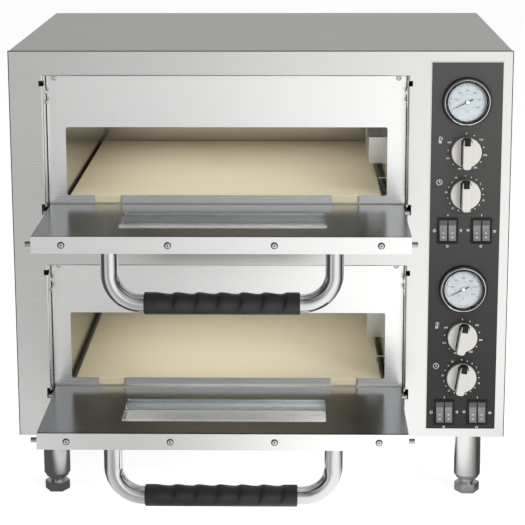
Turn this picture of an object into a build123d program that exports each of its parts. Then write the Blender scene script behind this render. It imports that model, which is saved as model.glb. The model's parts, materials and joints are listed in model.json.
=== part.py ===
"""Double-deck countertop pizza oven with drop-down doors, in millimetres.

+Z is up and the front faces -Y. The origin is on the resting plane, under the middle of the whole
object with both doors open. Each door is modelled open, lying level in front of its deck.
"""

from build123d import *
import os
from math import atan2, cos, degrees, radians, sin, sqrt, tan

# ---------------------------------------------------------------- driving dimensions
# Cabinet, measured on the front
LEFT_STILE = 49.0
RECESS_WIDTH = 515.0
RECESS_HEIGHT = 215.0
MIDDLE_STILE = 33.0
PANEL_WIDTH = 100.0
RIGHT_MARGIN = 14.0
BOTTOM_RAIL = 42.0
MIDDLE_RAIL = 60.0
TOP_RAIL = 36.0
BODY_DEPTH = 510.0
LEG_HEIGHT = 100.0

# Sheet metal
COVER_SHEET = 1.2
FRAME_SHEET = 1.5
LINER_SHEET = 1.0
DOOR_SHEET = 1.2
SHEET_GAP = 0.6
COVER_SEAM = 1.0
COVER_BEND = 3.0
RECESS_BEND = 2.5
JOINT_FLANGE = 14.0
BACK_INSET = 3.0

# Baking chambers, their face plates and stones
CHAMBER_MARGIN = 27.0
CHAMBER_FLOOR = 8.0
CHAMBER_HEIGHT = 160.0
CHAMBER_BACK_GAP = 29.0
SILL_RAIL = 12.0
APERTURE_HEIGHT = 100.0
APERTURE_CORNER = 3.0
SILL_NOTCH_WIDTH = 40.0
SILL_NOTCH_DEPTH = 11.0
SILL_NOTCH_CORNER = 4.0
SILL_NOTCH_SPREAD = 171.0
STONE_THICKNESS = 11.0
STONE_EDGE = 1.0
STONE_SIDE_GAP = 5.5
STONE_END_GAP = 1.5
STONE_SHIFT = {"lower": 0.5, "upper": -2.0}
LEDGE_WIDTH = 14.0

# Heating elements
ELEMENT_RADIUS = 4.0
ELEMENT_BEND = 40.0
ELEMENT_HOLE_GAP = 0.5
ELEMENT_ROWS = 4
ELEMENT_INSET = 60.0
ELEMENT_TAIL = 12.0
ELEMENT_CLEARANCE = 4.0

# Lamp, its guard and the temperature sensor, on the right wall of each chamber
GUARD_WIDTH = 20.0
GUARD_LENGTH = 140.0
GUARD_HEIGHT = 40.0
GUARD_RISE = 19.0
GUARD_SETBACK = 150.0
GUARD_SLOTS = 8
GUARD_SLOT_WIDTH = 8.0
GUARD_SLOT_BORDER = 6.0
LAMP_RADIUS = 6.0
LAMP_CAP_RADIUS = 7.0
LAMP_CAP_LENGTH = 18.0
SENSOR_RADIUS = 2.5
SENSOR_LENGTH = 240.0
SENSOR_RISE = 7.0
SENSOR_SETBACK = 34.0
CLIP_LENGTH = 6.0
CLIP_HEIGHT = 9.0

# Doors
DOOR_THICKNESS = 23.0
DOOR_SIDE_GAP = 4.0
DOOR_END_GAP = 3.0
DOOR_BACK_GAP = 3.0
DOOR_SWING_GAP = 0.7
HINGE_EDGE_RIM = 7.0
WINDOW_WIDTH = 285.0
WINDOW_HEIGHT = 96.0
WINDOW_SETBACK = 60.0
GLASS_LAP = 8.0
PANE_THICKNESS = 4.0
GLASS_GAP = 0.3
SPACER_WIDTH = 7.0
DOOR_SCREW_OFFSETS = (-213.0, -71.0, 71.0, 213.0)

# Door pins; the frame's holes are cut from the same values
PIVOT_RADIUS = 4.0
CATCH_PIN_RADIUS = 3.5
PIN_REACH = 8.5
PIN_ROOT = 12.0
PIVOT_FIT = 0.05
PIN_HOLE_GAP = 0.1
PIN_PATH_GAP = 0.4
STOP_PIN_DEPTH = 0.5
STOP_PIN_RISE = 4.6
LATCH_PIN_INSET = 7.5
NOTCH_WIDTH = 6.5

# Handles
HANDLE_RADIUS = 12.5
HANDLE_WALL = 2.0
HANDLE_SPAN = 304.0
HANDLE_REACH = 75.0
HANDLE_BEND = 43.0
HANDLE_INSET = 26.0
HANDLE_PLUG = 18.0
HANDLE_PLUG_LAP = 0.4
BOLT_RADIUS = 4.0
BOLT_HEAD_RADIUS = 6.5
BOLT_HEAD_HEIGHT = 5.0
GRIP_WALL = 2.75
GRIP_LENGTH = 211.0
GRIP_SHIFT = {"lower": -3.0, "upper": 0.0}
GROOVE_COUNT = 6
GROOVE_PITCH = 30.0
GROOVE_RADIUS = 36.0
GROOVE_DEPTH = 1.6
GRIP_EDGE = 1.5

# Door catches
CATCH_LEAF = 0.8
CATCH_WIDTH = 9.0
CATCH_LENGTH = 27.0
CATCH_BUMP = 2.0
CATCH_DROP = 18.0
CATCH_RIVET_RADIUS = 2.6
CATCH_RIVET_HEIGHT = 1.8

# Control panel
PANEL_SHEET = 1.5
PANEL_LAP = 6.0
PANEL_TOP_MARGIN = 16.0
PANEL_BOTTOM_MARGIN = 13.0
GAUGE_DROP = 72.0
TEMPERATURE_DROP = 143.5
TIMER_DROP = 204.5
SWITCH_DROP = 258.0
CONTROL_PITCH_TRIM = -3.0

# Thermometers
GAUGE_CUP_RADIUS = 30.0
BEZEL_OVERLAP = 4.0
BEZEL_HEIGHT = 8.0
BEZEL_LIP = 1.3
BEZEL_ROUND = 2.0
LENS_REBATE = 0.2
LENS_THICKNESS = 1.8
GAUGE_CUP_DEPTH = 22.0
GAUGE_CUP_WALL = 1.5
DIAL_THICKNESS = 0.8
NEEDLE_LENGTH = 21.0
NEEDLE_TAIL = 9.0
NEEDLE_WIDTH = 2.2
NEEDLE_THICKNESS = 0.6
NEEDLE_LIFT = 1.2
NEEDLE_HUB_RADIUS = 3.0
NEEDLE_SHAFT_RADIUS = 1.0
NEEDLE_REST_ANGLE = 207.0

# Knobs with their thermostats and timers
KNOB_RADIUS = 21.3
KNOB_DISC = 7.0
KNOB_GAP = 1.0
KNOB_BAR_WIDTH = 12.0
KNOB_BAR_HEIGHT = 12.0
KNOB_BAR_OVERHANG = 1.2
KNOB_EDGE = 1.2
KNOB_HOLLOW_RADIUS = 10.5
KNOB_HOLLOW_DEPTH = 3.5
STEM_RADIUS = 3.0
STEM_FIT = 0.05
STEM_LENGTH = 16.0
BUSHING_RADIUS = 4.9
BUSHING_GAP = 0.2
BUSHING_NUT = 13.0
BUSHING_NUT_HEIGHT = 1.8
CONTROL_BODY = 46.0
CONTROL_STANDOFF = 3.0
THERMOSTAT_DEPTH = 36.0
TIMER_DEPTH = 44.0
KNOB_TURN = {"lower": -9.0, "upper": 0.0}

# Rocker switches, two rockers in each housing
SWITCH_SPREAD = 24.0
SWITCH_RIM = 2.6
SWITCH_BEZEL = 2.2
SWITCH_INSET = 1.0
SWITCH_GAP = 1.2
SWITCH_DEPTH = 26.0
ROCKER_SPREAD = 6.4
ROCKER_WIDTH = 11.0
ROCKER_HALF_HEIGHT = 15.0
ROCKER_SIDE_GAP = 0.3
ROCKER_TILT = 9.0
ROCKER_FACE = 3.0
ROCKER_BACK = 3.0
ROCKER_DRAFT = 1.0
ROCKER_PIVOT_RADIUS = 1.2
ROCKER_PIVOT_REACH = 0.6

# Legs
LEG_RADIUS = 19.5
LEG_TAPER_RADIUS = 16.0
LEG_TAPER = 6.0
LEG_SIDE_INSET = 48.0
LEG_END_INSET = 45.0
LEG_CAP = 12.0
FOOT_HEIGHT = 22.0
FOOT_HEX = 32.0
FOOT_HEX_HEIGHT = 14.0
FOOT_COLLAR = 11.0
FOOT_GAP = 0.6
FOOT_EDGE = 1.0
STUD_RADIUS = 6.0
STUD_FIT = 0.05
STUD_HEADROOM = 16.0
LEG_BOLT_RADIUS = 5.0

# Screws, back panel and cable gland
SCREW_RADIUS = 2.0
SCREW_HEAD_RADIUS = 3.8
SCREW_HEAD_HEIGHT = 1.8
SCREW_LENGTH = 8.0
SCREW_HOLE_GAP = 0.1
PLATE_SCREW_SIDE = 12.0
PLATE_SCREW_DROP = 6.0
BACK_SCREW_INSET = 12.0
VENT_WIDTH = 44.0
VENT_HEIGHT = 4.0
VENT_PITCH = 13.0
VENT_COUNT = 9
VENT_SETBACK = 70.0
GLAND_BORE = 6.5
GLAND_NUT = 30.0
GLAND_NUT_HEIGHT = 9.0
GLAND_REACH = 24.0
GLAND_ROUND = 2.0
GLAND_THREAD_RADIUS = 11.0
GLAND_THREAD_LENGTH = 10.0
GLAND_RISE = 70.0
WOOL_GAP = 1.0
WOOL_FLOOR = 12.0
PARTITION_STANDOFF = 40.0
PARTITION_HOLE = 12.0

# ---------------------------------------------------------------- places worked out from them
BODY_WIDTH = LEFT_STILE + RECESS_WIDTH + MIDDLE_STILE + PANEL_WIDTH + RIGHT_MARGIN
BODY_HEIGHT = BOTTOM_RAIL + 2 * RECESS_HEIGHT + MIDDLE_RAIL + TOP_RAIL
BODY_BOTTOM = LEG_HEIGHT
BODY_TOP = BODY_BOTTOM + BODY_HEIGHT
BODY_MIDDLE = BODY_BOTTOM + BODY_HEIGHT / 2
SIDE = BODY_WIDTH / 2
RECESS_X = LEFT_STILE + RECESS_WIDTH / 2 - SIDE
DECK_PITCH = RECESS_HEIGHT + MIDDLE_RAIL
RECESS_DEPTH = DOOR_THICKNESS + DOOR_BACK_GAP
DECKS = {"lower": BODY_BOTTOM + BOTTOM_RAIL, "upper": BODY_BOTTOM + BOTTOM_RAIL + DECK_PITCH}

DOOR_WIDTH = RECESS_WIDTH - 2 * DOOR_SIDE_GAP
DOOR_LENGTH = RECESS_HEIGHT - 2 * DOOR_END_GAP
DOOR_HALF = DOOR_THICKNESS / 2
HINGE_EDGE = DOOR_THICKNESS
HINGE_EDGE_RADIUS = DOOR_HALF - (DOOR_END_GAP - DOOR_SWING_GAP) / (sqrt(2) - 1)
FREE_EDGE = HINGE_EDGE - DOOR_LENGTH
PIVOT_DEPTH = DOOR_HALF
PIVOT_RISE = DOOR_END_GAP + DOOR_HALF
LATCH_PIN_OFFSET = FREE_EDGE + LATCH_PIN_INSET - PIVOT_DEPTH
WINDOW_DEPTH = HINGE_EDGE - WINDOW_SETBACK - WINDOW_HEIGHT / 2
HANDLE_DEPTH = FREE_EDGE + HANDLE_INSET
HANDLE_BORE = HANDLE_RADIUS - HANDLE_WALL
GRIP_RADIUS = HANDLE_RADIUS + GRIP_WALL

# The cabinet's front face stands here, so that the open doors and the gland balance about Y = 0.
FRONT = -(BODY_DEPTH + GLAND_REACH + FREE_EDGE - SCREW_HEAD_HEIGHT) / 2

PLATE_BACK = RECESS_DEPTH + FRAME_SHEET
CHAMBER_WIDTH = RECESS_WIDTH - 2 * CHAMBER_MARGIN
CHAMBER_DEPTH = BODY_DEPTH - PLATE_BACK - CHAMBER_BACK_GAP
CHAMBER_WALL_X = RECESS_X + CHAMBER_WIDTH / 2
SILL_HEIGHT = DOOR_END_GAP + DOOR_THICKNESS + SILL_RAIL
STONE_BOTTOM = SILL_HEIGHT - STONE_THICKNESS
ELEMENT_RISES = (
    (CHAMBER_FLOOR + STONE_BOTTOM - LINER_SHEET) / 2,
    CHAMBER_FLOOR + CHAMBER_HEIGHT - ELEMENT_CLEARANCE - 3 * ELEMENT_RADIUS,
)

PANEL_X = SIDE - RIGHT_MARGIN - PANEL_WIDTH / 2
PANEL_HEIGHT = BODY_HEIGHT - PANEL_TOP_MARGIN - PANEL_BOTTOM_MARGIN
PANEL_MIDDLE = (BODY_TOP - PANEL_TOP_MARGIN + BODY_BOTTOM + PANEL_BOTTOM_MARGIN) / 2
CONTROL_TOPS = {"lower": BODY_TOP - DECK_PITCH - CONTROL_PITCH_TRIM, "upper": BODY_TOP}
GAUGES = {deck: top - GAUGE_DROP for deck, top in CONTROL_TOPS.items()}
TEMPERATURES = {deck: top - TEMPERATURE_DROP for deck, top in CONTROL_TOPS.items()}
TIMERS = {deck: top - TIMER_DROP for deck, top in CONTROL_TOPS.items()}
SWITCHES = {deck: top - SWITCH_DROP for deck, top in CONTROL_TOPS.items()}
KNOB_BACK = -(PANEL_SHEET + KNOB_GAP)
BEZEL_RADIUS = GAUGE_CUP_RADIUS + BEZEL_OVERLAP
GAUGE_BORE = GAUGE_CUP_RADIUS - GAUGE_CUP_WALL
LENS_RADIUS = GAUGE_CUP_RADIUS + LENS_REBATE
BEZEL_FRONT = -(PANEL_SHEET + BEZEL_HEIGHT)
LENS_BACK = BEZEL_FRONT + BEZEL_LIP + LENS_THICKNESS
DIAL_FRONT = LENS_BACK + 2 * NEEDLE_LIFT + NEEDLE_THICKNESS
SWITCH_FRONT = -(PANEL_SHEET + SWITCH_BEZEL)
ROCKER_PIVOT_DEPTH = SWITCH_FRONT + ROCKER_FACE
ROCKER_END_FACE = ROCKER_FACE + ROCKER_HALF_HEIGHT * tan(radians(ROCKER_TILT))
WELL_HALF_HEIGHT = Vector(ROCKER_HALF_HEIGHT, ROCKER_END_FACE).length + ROCKER_SIDE_GAP
SWITCH_WIDTH = 2 * (ROCKER_SPREAD + ROCKER_WIDTH / 2 + ROCKER_SIDE_GAP + SWITCH_RIM)
SWITCH_HEIGHT = 2 * (WELL_HALF_HEIGHT + SWITCH_RIM)
SWITCH_BODY = (SWITCH_WIDTH - 2 * SWITCH_INSET, SWITCH_HEIGHT - 2 * SWITCH_INSET)
PANEL_OPENING_TOP = BODY_TOP - PANEL_TOP_MARGIN - PANEL_LAP
PANEL_OPENING_BOTTOM = SWITCHES["lower"] - SWITCH_BODY[1] / 2 - SWITCH_GAP

BACK_FACE = BODY_DEPTH - BACK_INSET
LEG_POSITIONS = {
    "front_left": (-SIDE + LEG_SIDE_INSET, FRONT + LEG_END_INSET),
    "front_right": (SIDE - LEG_SIDE_INSET, FRONT + LEG_END_INSET),
    "back_left": (-SIDE + LEG_SIDE_INSET, FRONT + BODY_DEPTH - LEG_END_INSET),
    "back_right": (SIDE - LEG_SIDE_INSET, FRONT + BODY_DEPTH - LEG_END_INSET),
}
PARTITION_X = RECESS_X + RECESS_WIDTH / 2 + FRAME_SHEET + PARTITION_STANDOFF / 3
VENT_X = PANEL_X - PANEL_WIDTH / 4
GLAND_X = PANEL_X
GLAND_Z = BODY_BOTTOM + GLAND_RISE
BACK_SCREWS = [
    (x, z)
    for x in (-SIDE + BACK_SCREW_INSET, 0, SIDE - BACK_SCREW_INSET)
    for z in (BODY_BOTTOM + BACK_SCREW_INSET, BODY_MIDDLE, BODY_TOP - BACK_SCREW_INSET)
    if (x, z) != (0, BODY_MIDDLE)
]
PLATE_SCREWS = [
    (RECESS_X + side * (RECESS_WIDTH / 2 - PLATE_SCREW_SIDE), floor + RECESS_HEIGHT - PLATE_SCREW_DROP)
    for floor in DECKS.values()
    for side in (-1, 1)
]

ALONG_X = (0, 90, 0)
ALONG_Y = (90, 0, 0)


def facing(depth):
    """Upright plane at a depth behind the frame's face, looking forward; local x is right, local y is up."""
    return Plane(origin=(0, FRONT + depth, 0), x_dir=(1, 0, 0), z_dir=(0, -1, 0))


def sideways(x):
    """Upright plane across the width at x; local x is the depth behind the frame's face, local y is up."""
    return Plane(origin=(x, FRONT, 0), x_dir=(0, 1, 0), z_dir=(1, 0, 0))


def save(piece, name):
    """Label a finished piece and write it to its own STEP file."""
    piece.part.label = name
    export_step(piece.part, f"parts/{name}.step")


os.makedirs("parts", exist_ok=True)

# ---------------------------------------------------------------- cabinet shell
# The stop pins swing a quarter turn about the pivots, from the first end of this route to the other.
stop_setback = PIVOT_DEPTH - STOP_PIN_DEPTH
stop_reach = Vector(stop_setback, STOP_PIN_RISE).length
stop_route = CenterArc((0, 0), stop_reach, degrees(atan2(stop_setback, STOP_PIN_RISE)), 90)
pin_path = CATCH_PIN_RADIUS + PIN_PATH_GAP
flange_inset = COVER_SHEET + SHEET_GAP

# Front frame: one sheet with two door recesses, the control opening and a joint flange all round.
with BuildPart() as front_frame:
    with BuildSketch(facing(0)):
        with Locations((0, BODY_MIDDLE)):
            Rectangle(BODY_WIDTH, BODY_HEIGHT)
        with Locations((PANEL_X, (PANEL_OPENING_TOP + PANEL_OPENING_BOTTOM) / 2)):
            opening_height = PANEL_OPENING_TOP - PANEL_OPENING_BOTTOM
            Rectangle(PANEL_WIDTH - 2 * PANEL_LAP, opening_height, mode=Mode.SUBTRACT)
        with Locations(*[(RECESS_X, floor + RECESS_HEIGHT / 2) for floor in DECKS.values()]):
            Rectangle(RECESS_WIDTH, RECESS_HEIGHT, mode=Mode.SUBTRACT)
    extrude(amount=-FRAME_SHEET)
    with BuildSketch(facing(0)):
        with Locations(*[(RECESS_X, floor + RECESS_HEIGHT / 2) for floor in DECKS.values()]):
            Rectangle(RECESS_WIDTH + 2 * FRAME_SHEET, RECESS_HEIGHT + 2 * FRAME_SHEET)
            Rectangle(RECESS_WIDTH, RECESS_HEIGHT, mode=Mode.SUBTRACT)
    extrude(amount=-RECESS_DEPTH)
    recess_rims = front_frame.edges().group_by(Axis.Y)[0].filter_by(
        lambda edge: abs(edge.center().X - RECESS_X) < RECESS_WIDTH / 2 + FRAME_SHEET
        and BODY_BOTTOM + FRAME_SHEET < edge.center().Z < BODY_TOP - FRAME_SHEET
    )
    fillet(recess_rims, RECESS_BEND)
    with BuildSketch(facing(0)):
        with Locations((0, BODY_MIDDLE)):
            Rectangle(BODY_WIDTH - 2 * flange_inset, BODY_HEIGHT - 2 * flange_inset)
            Rectangle(
                BODY_WIDTH - 2 * (flange_inset + FRAME_SHEET),
                BODY_HEIGHT - 2 * (flange_inset + FRAME_SHEET),
                mode=Mode.SUBTRACT,
            )
    extrude(amount=-JOINT_FLANGE)
    for floor in DECKS.values():
        pivot_z = floor + PIVOT_RISE
        latch_z = pivot_z - LATCH_PIN_OFFSET
        stop_top = pivot_z + stop_reach + pin_path
        stop_bottom = pivot_z + STOP_PIN_RISE - pin_path
        for side in (-1, 1):
            wall_x = RECESS_X + side * RECESS_WIDTH / 2
            notch_x = wall_x + side * NOTCH_WIDTH / 2
            with BuildSketch(sideways(wall_x - 2 * FRAME_SHEET)):
                with Locations((PIVOT_DEPTH, pivot_z)):
                    Circle(PIVOT_RADIUS + PIVOT_FIT)
                    SlotArc(stop_route, 2 * pin_path)
                with Locations((PIVOT_DEPTH / 2, latch_z)):
                    Rectangle(PIVOT_DEPTH + 2 * pin_path, 2 * pin_path)
            extrude(amount=4 * FRAME_SHEET, mode=Mode.SUBTRACT)
            with BuildSketch(facing(0)):
                with Locations((notch_x, (stop_bottom + stop_top) / 2)):
                    Rectangle(NOTCH_WIDTH, stop_top - stop_bottom)
                with Locations((notch_x, latch_z)):
                    Rectangle(NOTCH_WIDTH, 2 * pin_path)
            extrude(amount=-FRAME_SHEET, mode=Mode.SUBTRACT)
save(front_frame, "front_frame")

# Outer cover: a bent wrap for both sides and the top, with cooling slots beside the controls.
with BuildPart() as outer_cover:
    with BuildSketch(facing(FRAME_SHEET + COVER_SEAM)) as wrap:
        with Locations((0, BODY_MIDDLE)):
            Rectangle(BODY_WIDTH, BODY_HEIGHT)
        fillet(wrap.vertices().group_by(Axis.Y)[-1], COVER_BEND)
        with BuildSketch(mode=Mode.SUBTRACT) as hollow:
            with Locations((0, BODY_MIDDLE - COVER_SHEET)):
                Rectangle(BODY_WIDTH - 2 * COVER_SHEET, BODY_HEIGHT)
            fillet(hollow.vertices().group_by(Axis.Y)[-1], COVER_BEND - COVER_SHEET)
    extrude(amount=-(BODY_DEPTH - FRAME_SHEET - COVER_SEAM))
    vent_depth = BODY_DEPTH - VENT_SETBACK - VENT_WIDTH / 2
    with BuildSketch(sideways(SIDE - 2 * COVER_SHEET)):
        with Locations((vent_depth, BODY_MIDDLE)):
            with GridLocations(VENT_WIDTH + VENT_PITCH, VENT_PITCH, 2, VENT_COUNT):
                SlotOverall(VENT_WIDTH, VENT_HEIGHT)
    extrude(amount=4 * COVER_SHEET, mode=Mode.SUBTRACT)
save(outer_cover, "outer_cover")

# Base pan: the floor of the cabinet, with a hole over each leg.
pan_width = BODY_WIDTH - 2 * (flange_inset + FRAME_SHEET + SHEET_GAP)
with BuildPart() as base_pan:
    with BuildSketch(Plane.XY.offset(BODY_BOTTOM)):
        with Locations((0, FRONT + (FRAME_SHEET + SHEET_GAP + BACK_FACE - COVER_SHEET - SHEET_GAP) / 2)):
            Rectangle(pan_width, BACK_FACE - COVER_SHEET - 2 * SHEET_GAP - FRAME_SHEET)
        with Locations(*LEG_POSITIONS.values()):
            Circle(LEG_BOLT_RADIUS + SCREW_HOLE_GAP, mode=Mode.SUBTRACT)
    extrude(amount=COVER_SHEET)
save(base_pan, "base_pan")

# Back panel: slotted behind the controls, with screw holes round the edge and the gland's hole.
with BuildPart() as back_panel:
    with BuildSketch(facing(BACK_FACE)):
        with Locations((0, BODY_MIDDLE)):
            Rectangle(BODY_WIDTH - 2 * flange_inset, BODY_HEIGHT - 2 * flange_inset)
        with Locations(*BACK_SCREWS):
            Circle(SCREW_RADIUS + SCREW_HOLE_GAP, mode=Mode.SUBTRACT)
        with Locations((GLAND_X, GLAND_Z)):
            Circle(GLAND_THREAD_RADIUS + SCREW_HOLE_GAP, mode=Mode.SUBTRACT)
        with Locations((VENT_X, BODY_MIDDLE)):
            with GridLocations(VENT_WIDTH + VENT_PITCH, VENT_PITCH, 2, VENT_COUNT):
                SlotOverall(VENT_WIDTH, VENT_HEIGHT, mode=Mode.SUBTRACT)
    extrude(amount=COVER_SHEET)
save(back_panel, "back_panel")

# Partition: keeps the heat of the chambers away from the controls.
with BuildPart() as partition_wall:
    with BuildSketch(sideways(PARTITION_X)):
        with Locations(((PLATE_BACK + BACK_FACE - COVER_SHEET) / 2, BODY_MIDDLE)):
            Rectangle(BACK_FACE - COVER_SHEET - PLATE_BACK - 2 * WOOL_GAP, BODY_HEIGHT - 4 * flange_inset)
        hole_depth = BACK_FACE - 2 * PARTITION_STANDOFF
        with Locations(*[(hole_depth, floor + SILL_HEIGHT) for floor in DECKS.values()]):
            Circle(PARTITION_HOLE, mode=Mode.SUBTRACT)
    extrude(amount=COVER_SHEET)
save(partition_wall, "partition_wall")

# Control panel: a dark plate over the frame's control opening.
switch_places = [(PANEL_X + side * SWITCH_SPREAD, z) for z in SWITCHES.values() for side in (-1, 1)]
knob_places = [(PANEL_X, z) for z in (*TEMPERATURES.values(), *TIMERS.values())]
with BuildPart() as control_panel:
    with BuildSketch(facing(0)):
        with Locations((PANEL_X, PANEL_MIDDLE)):
            Rectangle(PANEL_WIDTH, PANEL_HEIGHT)
        with Locations(*[(PANEL_X, z) for z in GAUGES.values()]):
            Circle(GAUGE_CUP_RADIUS + SHEET_GAP, mode=Mode.SUBTRACT)
        with Locations(*knob_places):
            Circle(BUSHING_RADIUS + BUSHING_GAP, mode=Mode.SUBTRACT)
        with Locations(*switch_places):
            Rectangle(*SWITCH_BODY, mode=Mode.SUBTRACT)
    extrude(amount=PANEL_SHEET)
save(control_panel, "control_panel")

# ---------------------------------------------------------------- baking chambers
for deck, floor in DECKS.items():
    sill = floor + SILL_HEIGHT
    aperture_z = sill + APERTURE_HEIGHT / 2
    chamber_z = floor + CHAMBER_FLOOR + CHAMBER_HEIGHT / 2

    # Face plate: closes the recess around the chamber mouth; two notches in its sill show the stone.
    with BuildPart() as face_plate:
        with BuildSketch(facing(RECESS_DEPTH)) as outline:
            with Locations((RECESS_X, floor + RECESS_HEIGHT / 2)):
                Rectangle(RECESS_WIDTH + 2 * FRAME_SHEET, RECESS_HEIGHT + 2 * FRAME_SHEET)
            with Locations((RECESS_X, aperture_z)):
                RectangleRounded(CHAMBER_WIDTH, APERTURE_HEIGHT, APERTURE_CORNER, mode=Mode.SUBTRACT)
            with Locations(*[(RECESS_X + side * SILL_NOTCH_SPREAD, sill) for side in (-1, 1)]):
                RectangleRounded(
                    SILL_NOTCH_WIDTH, 2 * SILL_NOTCH_DEPTH, SILL_NOTCH_CORNER, mode=Mode.SUBTRACT
                )
            with Locations(*PLATE_SCREWS):
                Circle(SCREW_RADIUS + SCREW_HOLE_GAP, mode=Mode.SUBTRACT)
        extrude(amount=-FRAME_SHEET)
    save(face_plate, f"{deck}_face_plate")

    # Chamber: a liner open at the front, with two ledges that carry the stone.
    with BuildPart() as chamber:
        with BuildSketch(facing(PLATE_BACK)):
            with Locations((RECESS_X, chamber_z)):
                Rectangle(CHAMBER_WIDTH + 2 * LINER_SHEET, CHAMBER_HEIGHT + 2 * LINER_SHEET)
        extrude(amount=-(CHAMBER_DEPTH + LINER_SHEET))
        with BuildSketch(facing(PLATE_BACK)):
            with Locations((RECESS_X, chamber_z)):
                Rectangle(CHAMBER_WIDTH, CHAMBER_HEIGHT)
        extrude(amount=-CHAMBER_DEPTH, mode=Mode.SUBTRACT)
        with BuildSketch(facing(PLATE_BACK)):
            ledge_z = floor + STONE_BOTTOM - LINER_SHEET / 2
            ledge_x = (CHAMBER_WIDTH - LEDGE_WIDTH + LINER_SHEET) / 2
            with Locations(*[(RECESS_X + side * ledge_x, ledge_z) for side in (-1, 1)]):
                Rectangle(LEDGE_WIDTH + LINER_SHEET, LINER_SHEET)
        extrude(amount=-CHAMBER_DEPTH)
        with BuildSketch(sideways(CHAMBER_WALL_X - LINER_SHEET)):
            tail_depths = (PLATE_BACK + ELEMENT_INSET, PLATE_BACK + CHAMBER_DEPTH - ELEMENT_INSET)
            with Locations(*[(depth, floor + rise) for depth in tail_depths for rise in ELEMENT_RISES]):
                Circle(ELEMENT_RADIUS + ELEMENT_HOLE_GAP)
        extrude(amount=3 * LINER_SHEET, mode=Mode.SUBTRACT)
    save(chamber, f"{deck}_chamber")

    # Stone: a square slab lying on the ledges.
    with BuildPart() as stone:
        with BuildSketch(Plane.XY.offset(floor + STONE_BOTTOM)):
            with Locations((RECESS_X + STONE_SHIFT[deck], FRONT + PLATE_BACK + CHAMBER_DEPTH / 2)):
                Rectangle(CHAMBER_WIDTH - 2 * STONE_SIDE_GAP, CHAMBER_DEPTH - 2 * STONE_END_GAP)
        extrude(amount=STONE_THICKNESS)
        chamfer(stone.edges().group_by(Axis.Z)[-1], STONE_EDGE)
    save(stone, f"{deck}_stone")

# Elements: a rod bent to and fro across each chamber, with both tails through its right wall.
row_gap = (CHAMBER_DEPTH - 2 * ELEMENT_INSET) / (ELEMENT_ROWS - 1)
near_x = RECESS_X - CHAMBER_WIDTH / 2 + ELEMENT_INSET / 2
far_x = CHAMBER_WALL_X - ELEMENT_INSET / 2
tail_x = CHAMBER_WALL_X + ELEMENT_TAIL
rows = [FRONT + PLATE_BACK + ELEMENT_INSET + row * row_gap for row in range(ELEMENT_ROWS)]
element_turns = [
    (tail_x, rows[0]),
    (near_x, rows[0]),
    (near_x, rows[1]),
    (far_x, rows[1]),
    (far_x, rows[2]),
    (near_x, rows[2]),
    (near_x, rows[3]),
    (tail_x, rows[3]),
]
with BuildPart() as heating_elements:
    for height in [floor + rise for floor in DECKS.values() for rise in ELEMENT_RISES]:
        with BuildLine(Plane.XY.offset(height)) as rod_route:
            FilletPolyline(*element_turns, radius=ELEMENT_BEND)
        with BuildSketch(Plane(origin=rod_route.line @ 0, z_dir=rod_route.line % 0)):
            Circle(ELEMENT_RADIUS)
        sweep(path=rod_route.line)
save(heating_elements, "heating_elements")

# Insulation: blocks of wool under, between, over, beside and behind the two chambers.
wool_floor = BODY_BOTTOM + WOOL_FLOOR
wool_top = BODY_TOP - COVER_SHEET - WOOL_GAP - FRAME_SHEET - flange_inset
chamber_tops = {deck: floor + CHAMBER_FLOOR + CHAMBER_HEIGHT + LINER_SHEET for deck, floor in DECKS.items()}
chamber_bases = {deck: floor + CHAMBER_FLOOR - LINER_SHEET for deck, floor in DECKS.items()}
liner_depth = CHAMBER_DEPTH + LINER_SHEET
with BuildPart() as insulation_blocks:
    for low, high in (
        (wool_floor, chamber_bases["lower"] - WOOL_GAP),
        (chamber_tops["lower"] + WOOL_GAP, chamber_bases["upper"] - WOOL_GAP),
        (chamber_tops["upper"] + WOOL_GAP, wool_top),
    ):
        with BuildSketch(Plane.XY.offset(low)):
            with Locations((RECESS_X, FRONT + PLATE_BACK + WOOL_GAP + liner_depth / 2)):
                Rectangle(CHAMBER_WIDTH, liner_depth - 2 * WOOL_GAP)
        extrude(amount=high - low)
    side_low = -SIDE + flange_inset + FRAME_SHEET + WOOL_GAP
    side_high = RECESS_X - CHAMBER_WIDTH / 2 - LINER_SHEET - WOOL_GAP
    side_front = PLATE_BACK + SCREW_LENGTH
    side_back = PLATE_BACK + liner_depth
    with BuildSketch(Plane.XY.offset(wool_floor)):
        with Locations(((side_low + side_high) / 2, FRONT + (side_front + side_back) / 2)):
            Rectangle(side_high - side_low, side_back - side_front)
    extrude(amount=wool_top - wool_floor)
    back_low = PLATE_BACK + liner_depth + WOOL_GAP
    back_high = BACK_FACE - COVER_SHEET - SCREW_LENGTH - WOOL_GAP
    with BuildSketch(Plane.XY.offset(wool_floor)):
        with Locations((RECESS_X, FRONT + (back_low + back_high) / 2)):
            Rectangle(CHAMBER_WIDTH, back_high - back_low)
    extrude(amount=wool_top - wool_floor)
save(insulation_blocks, "insulation_blocks")

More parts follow.
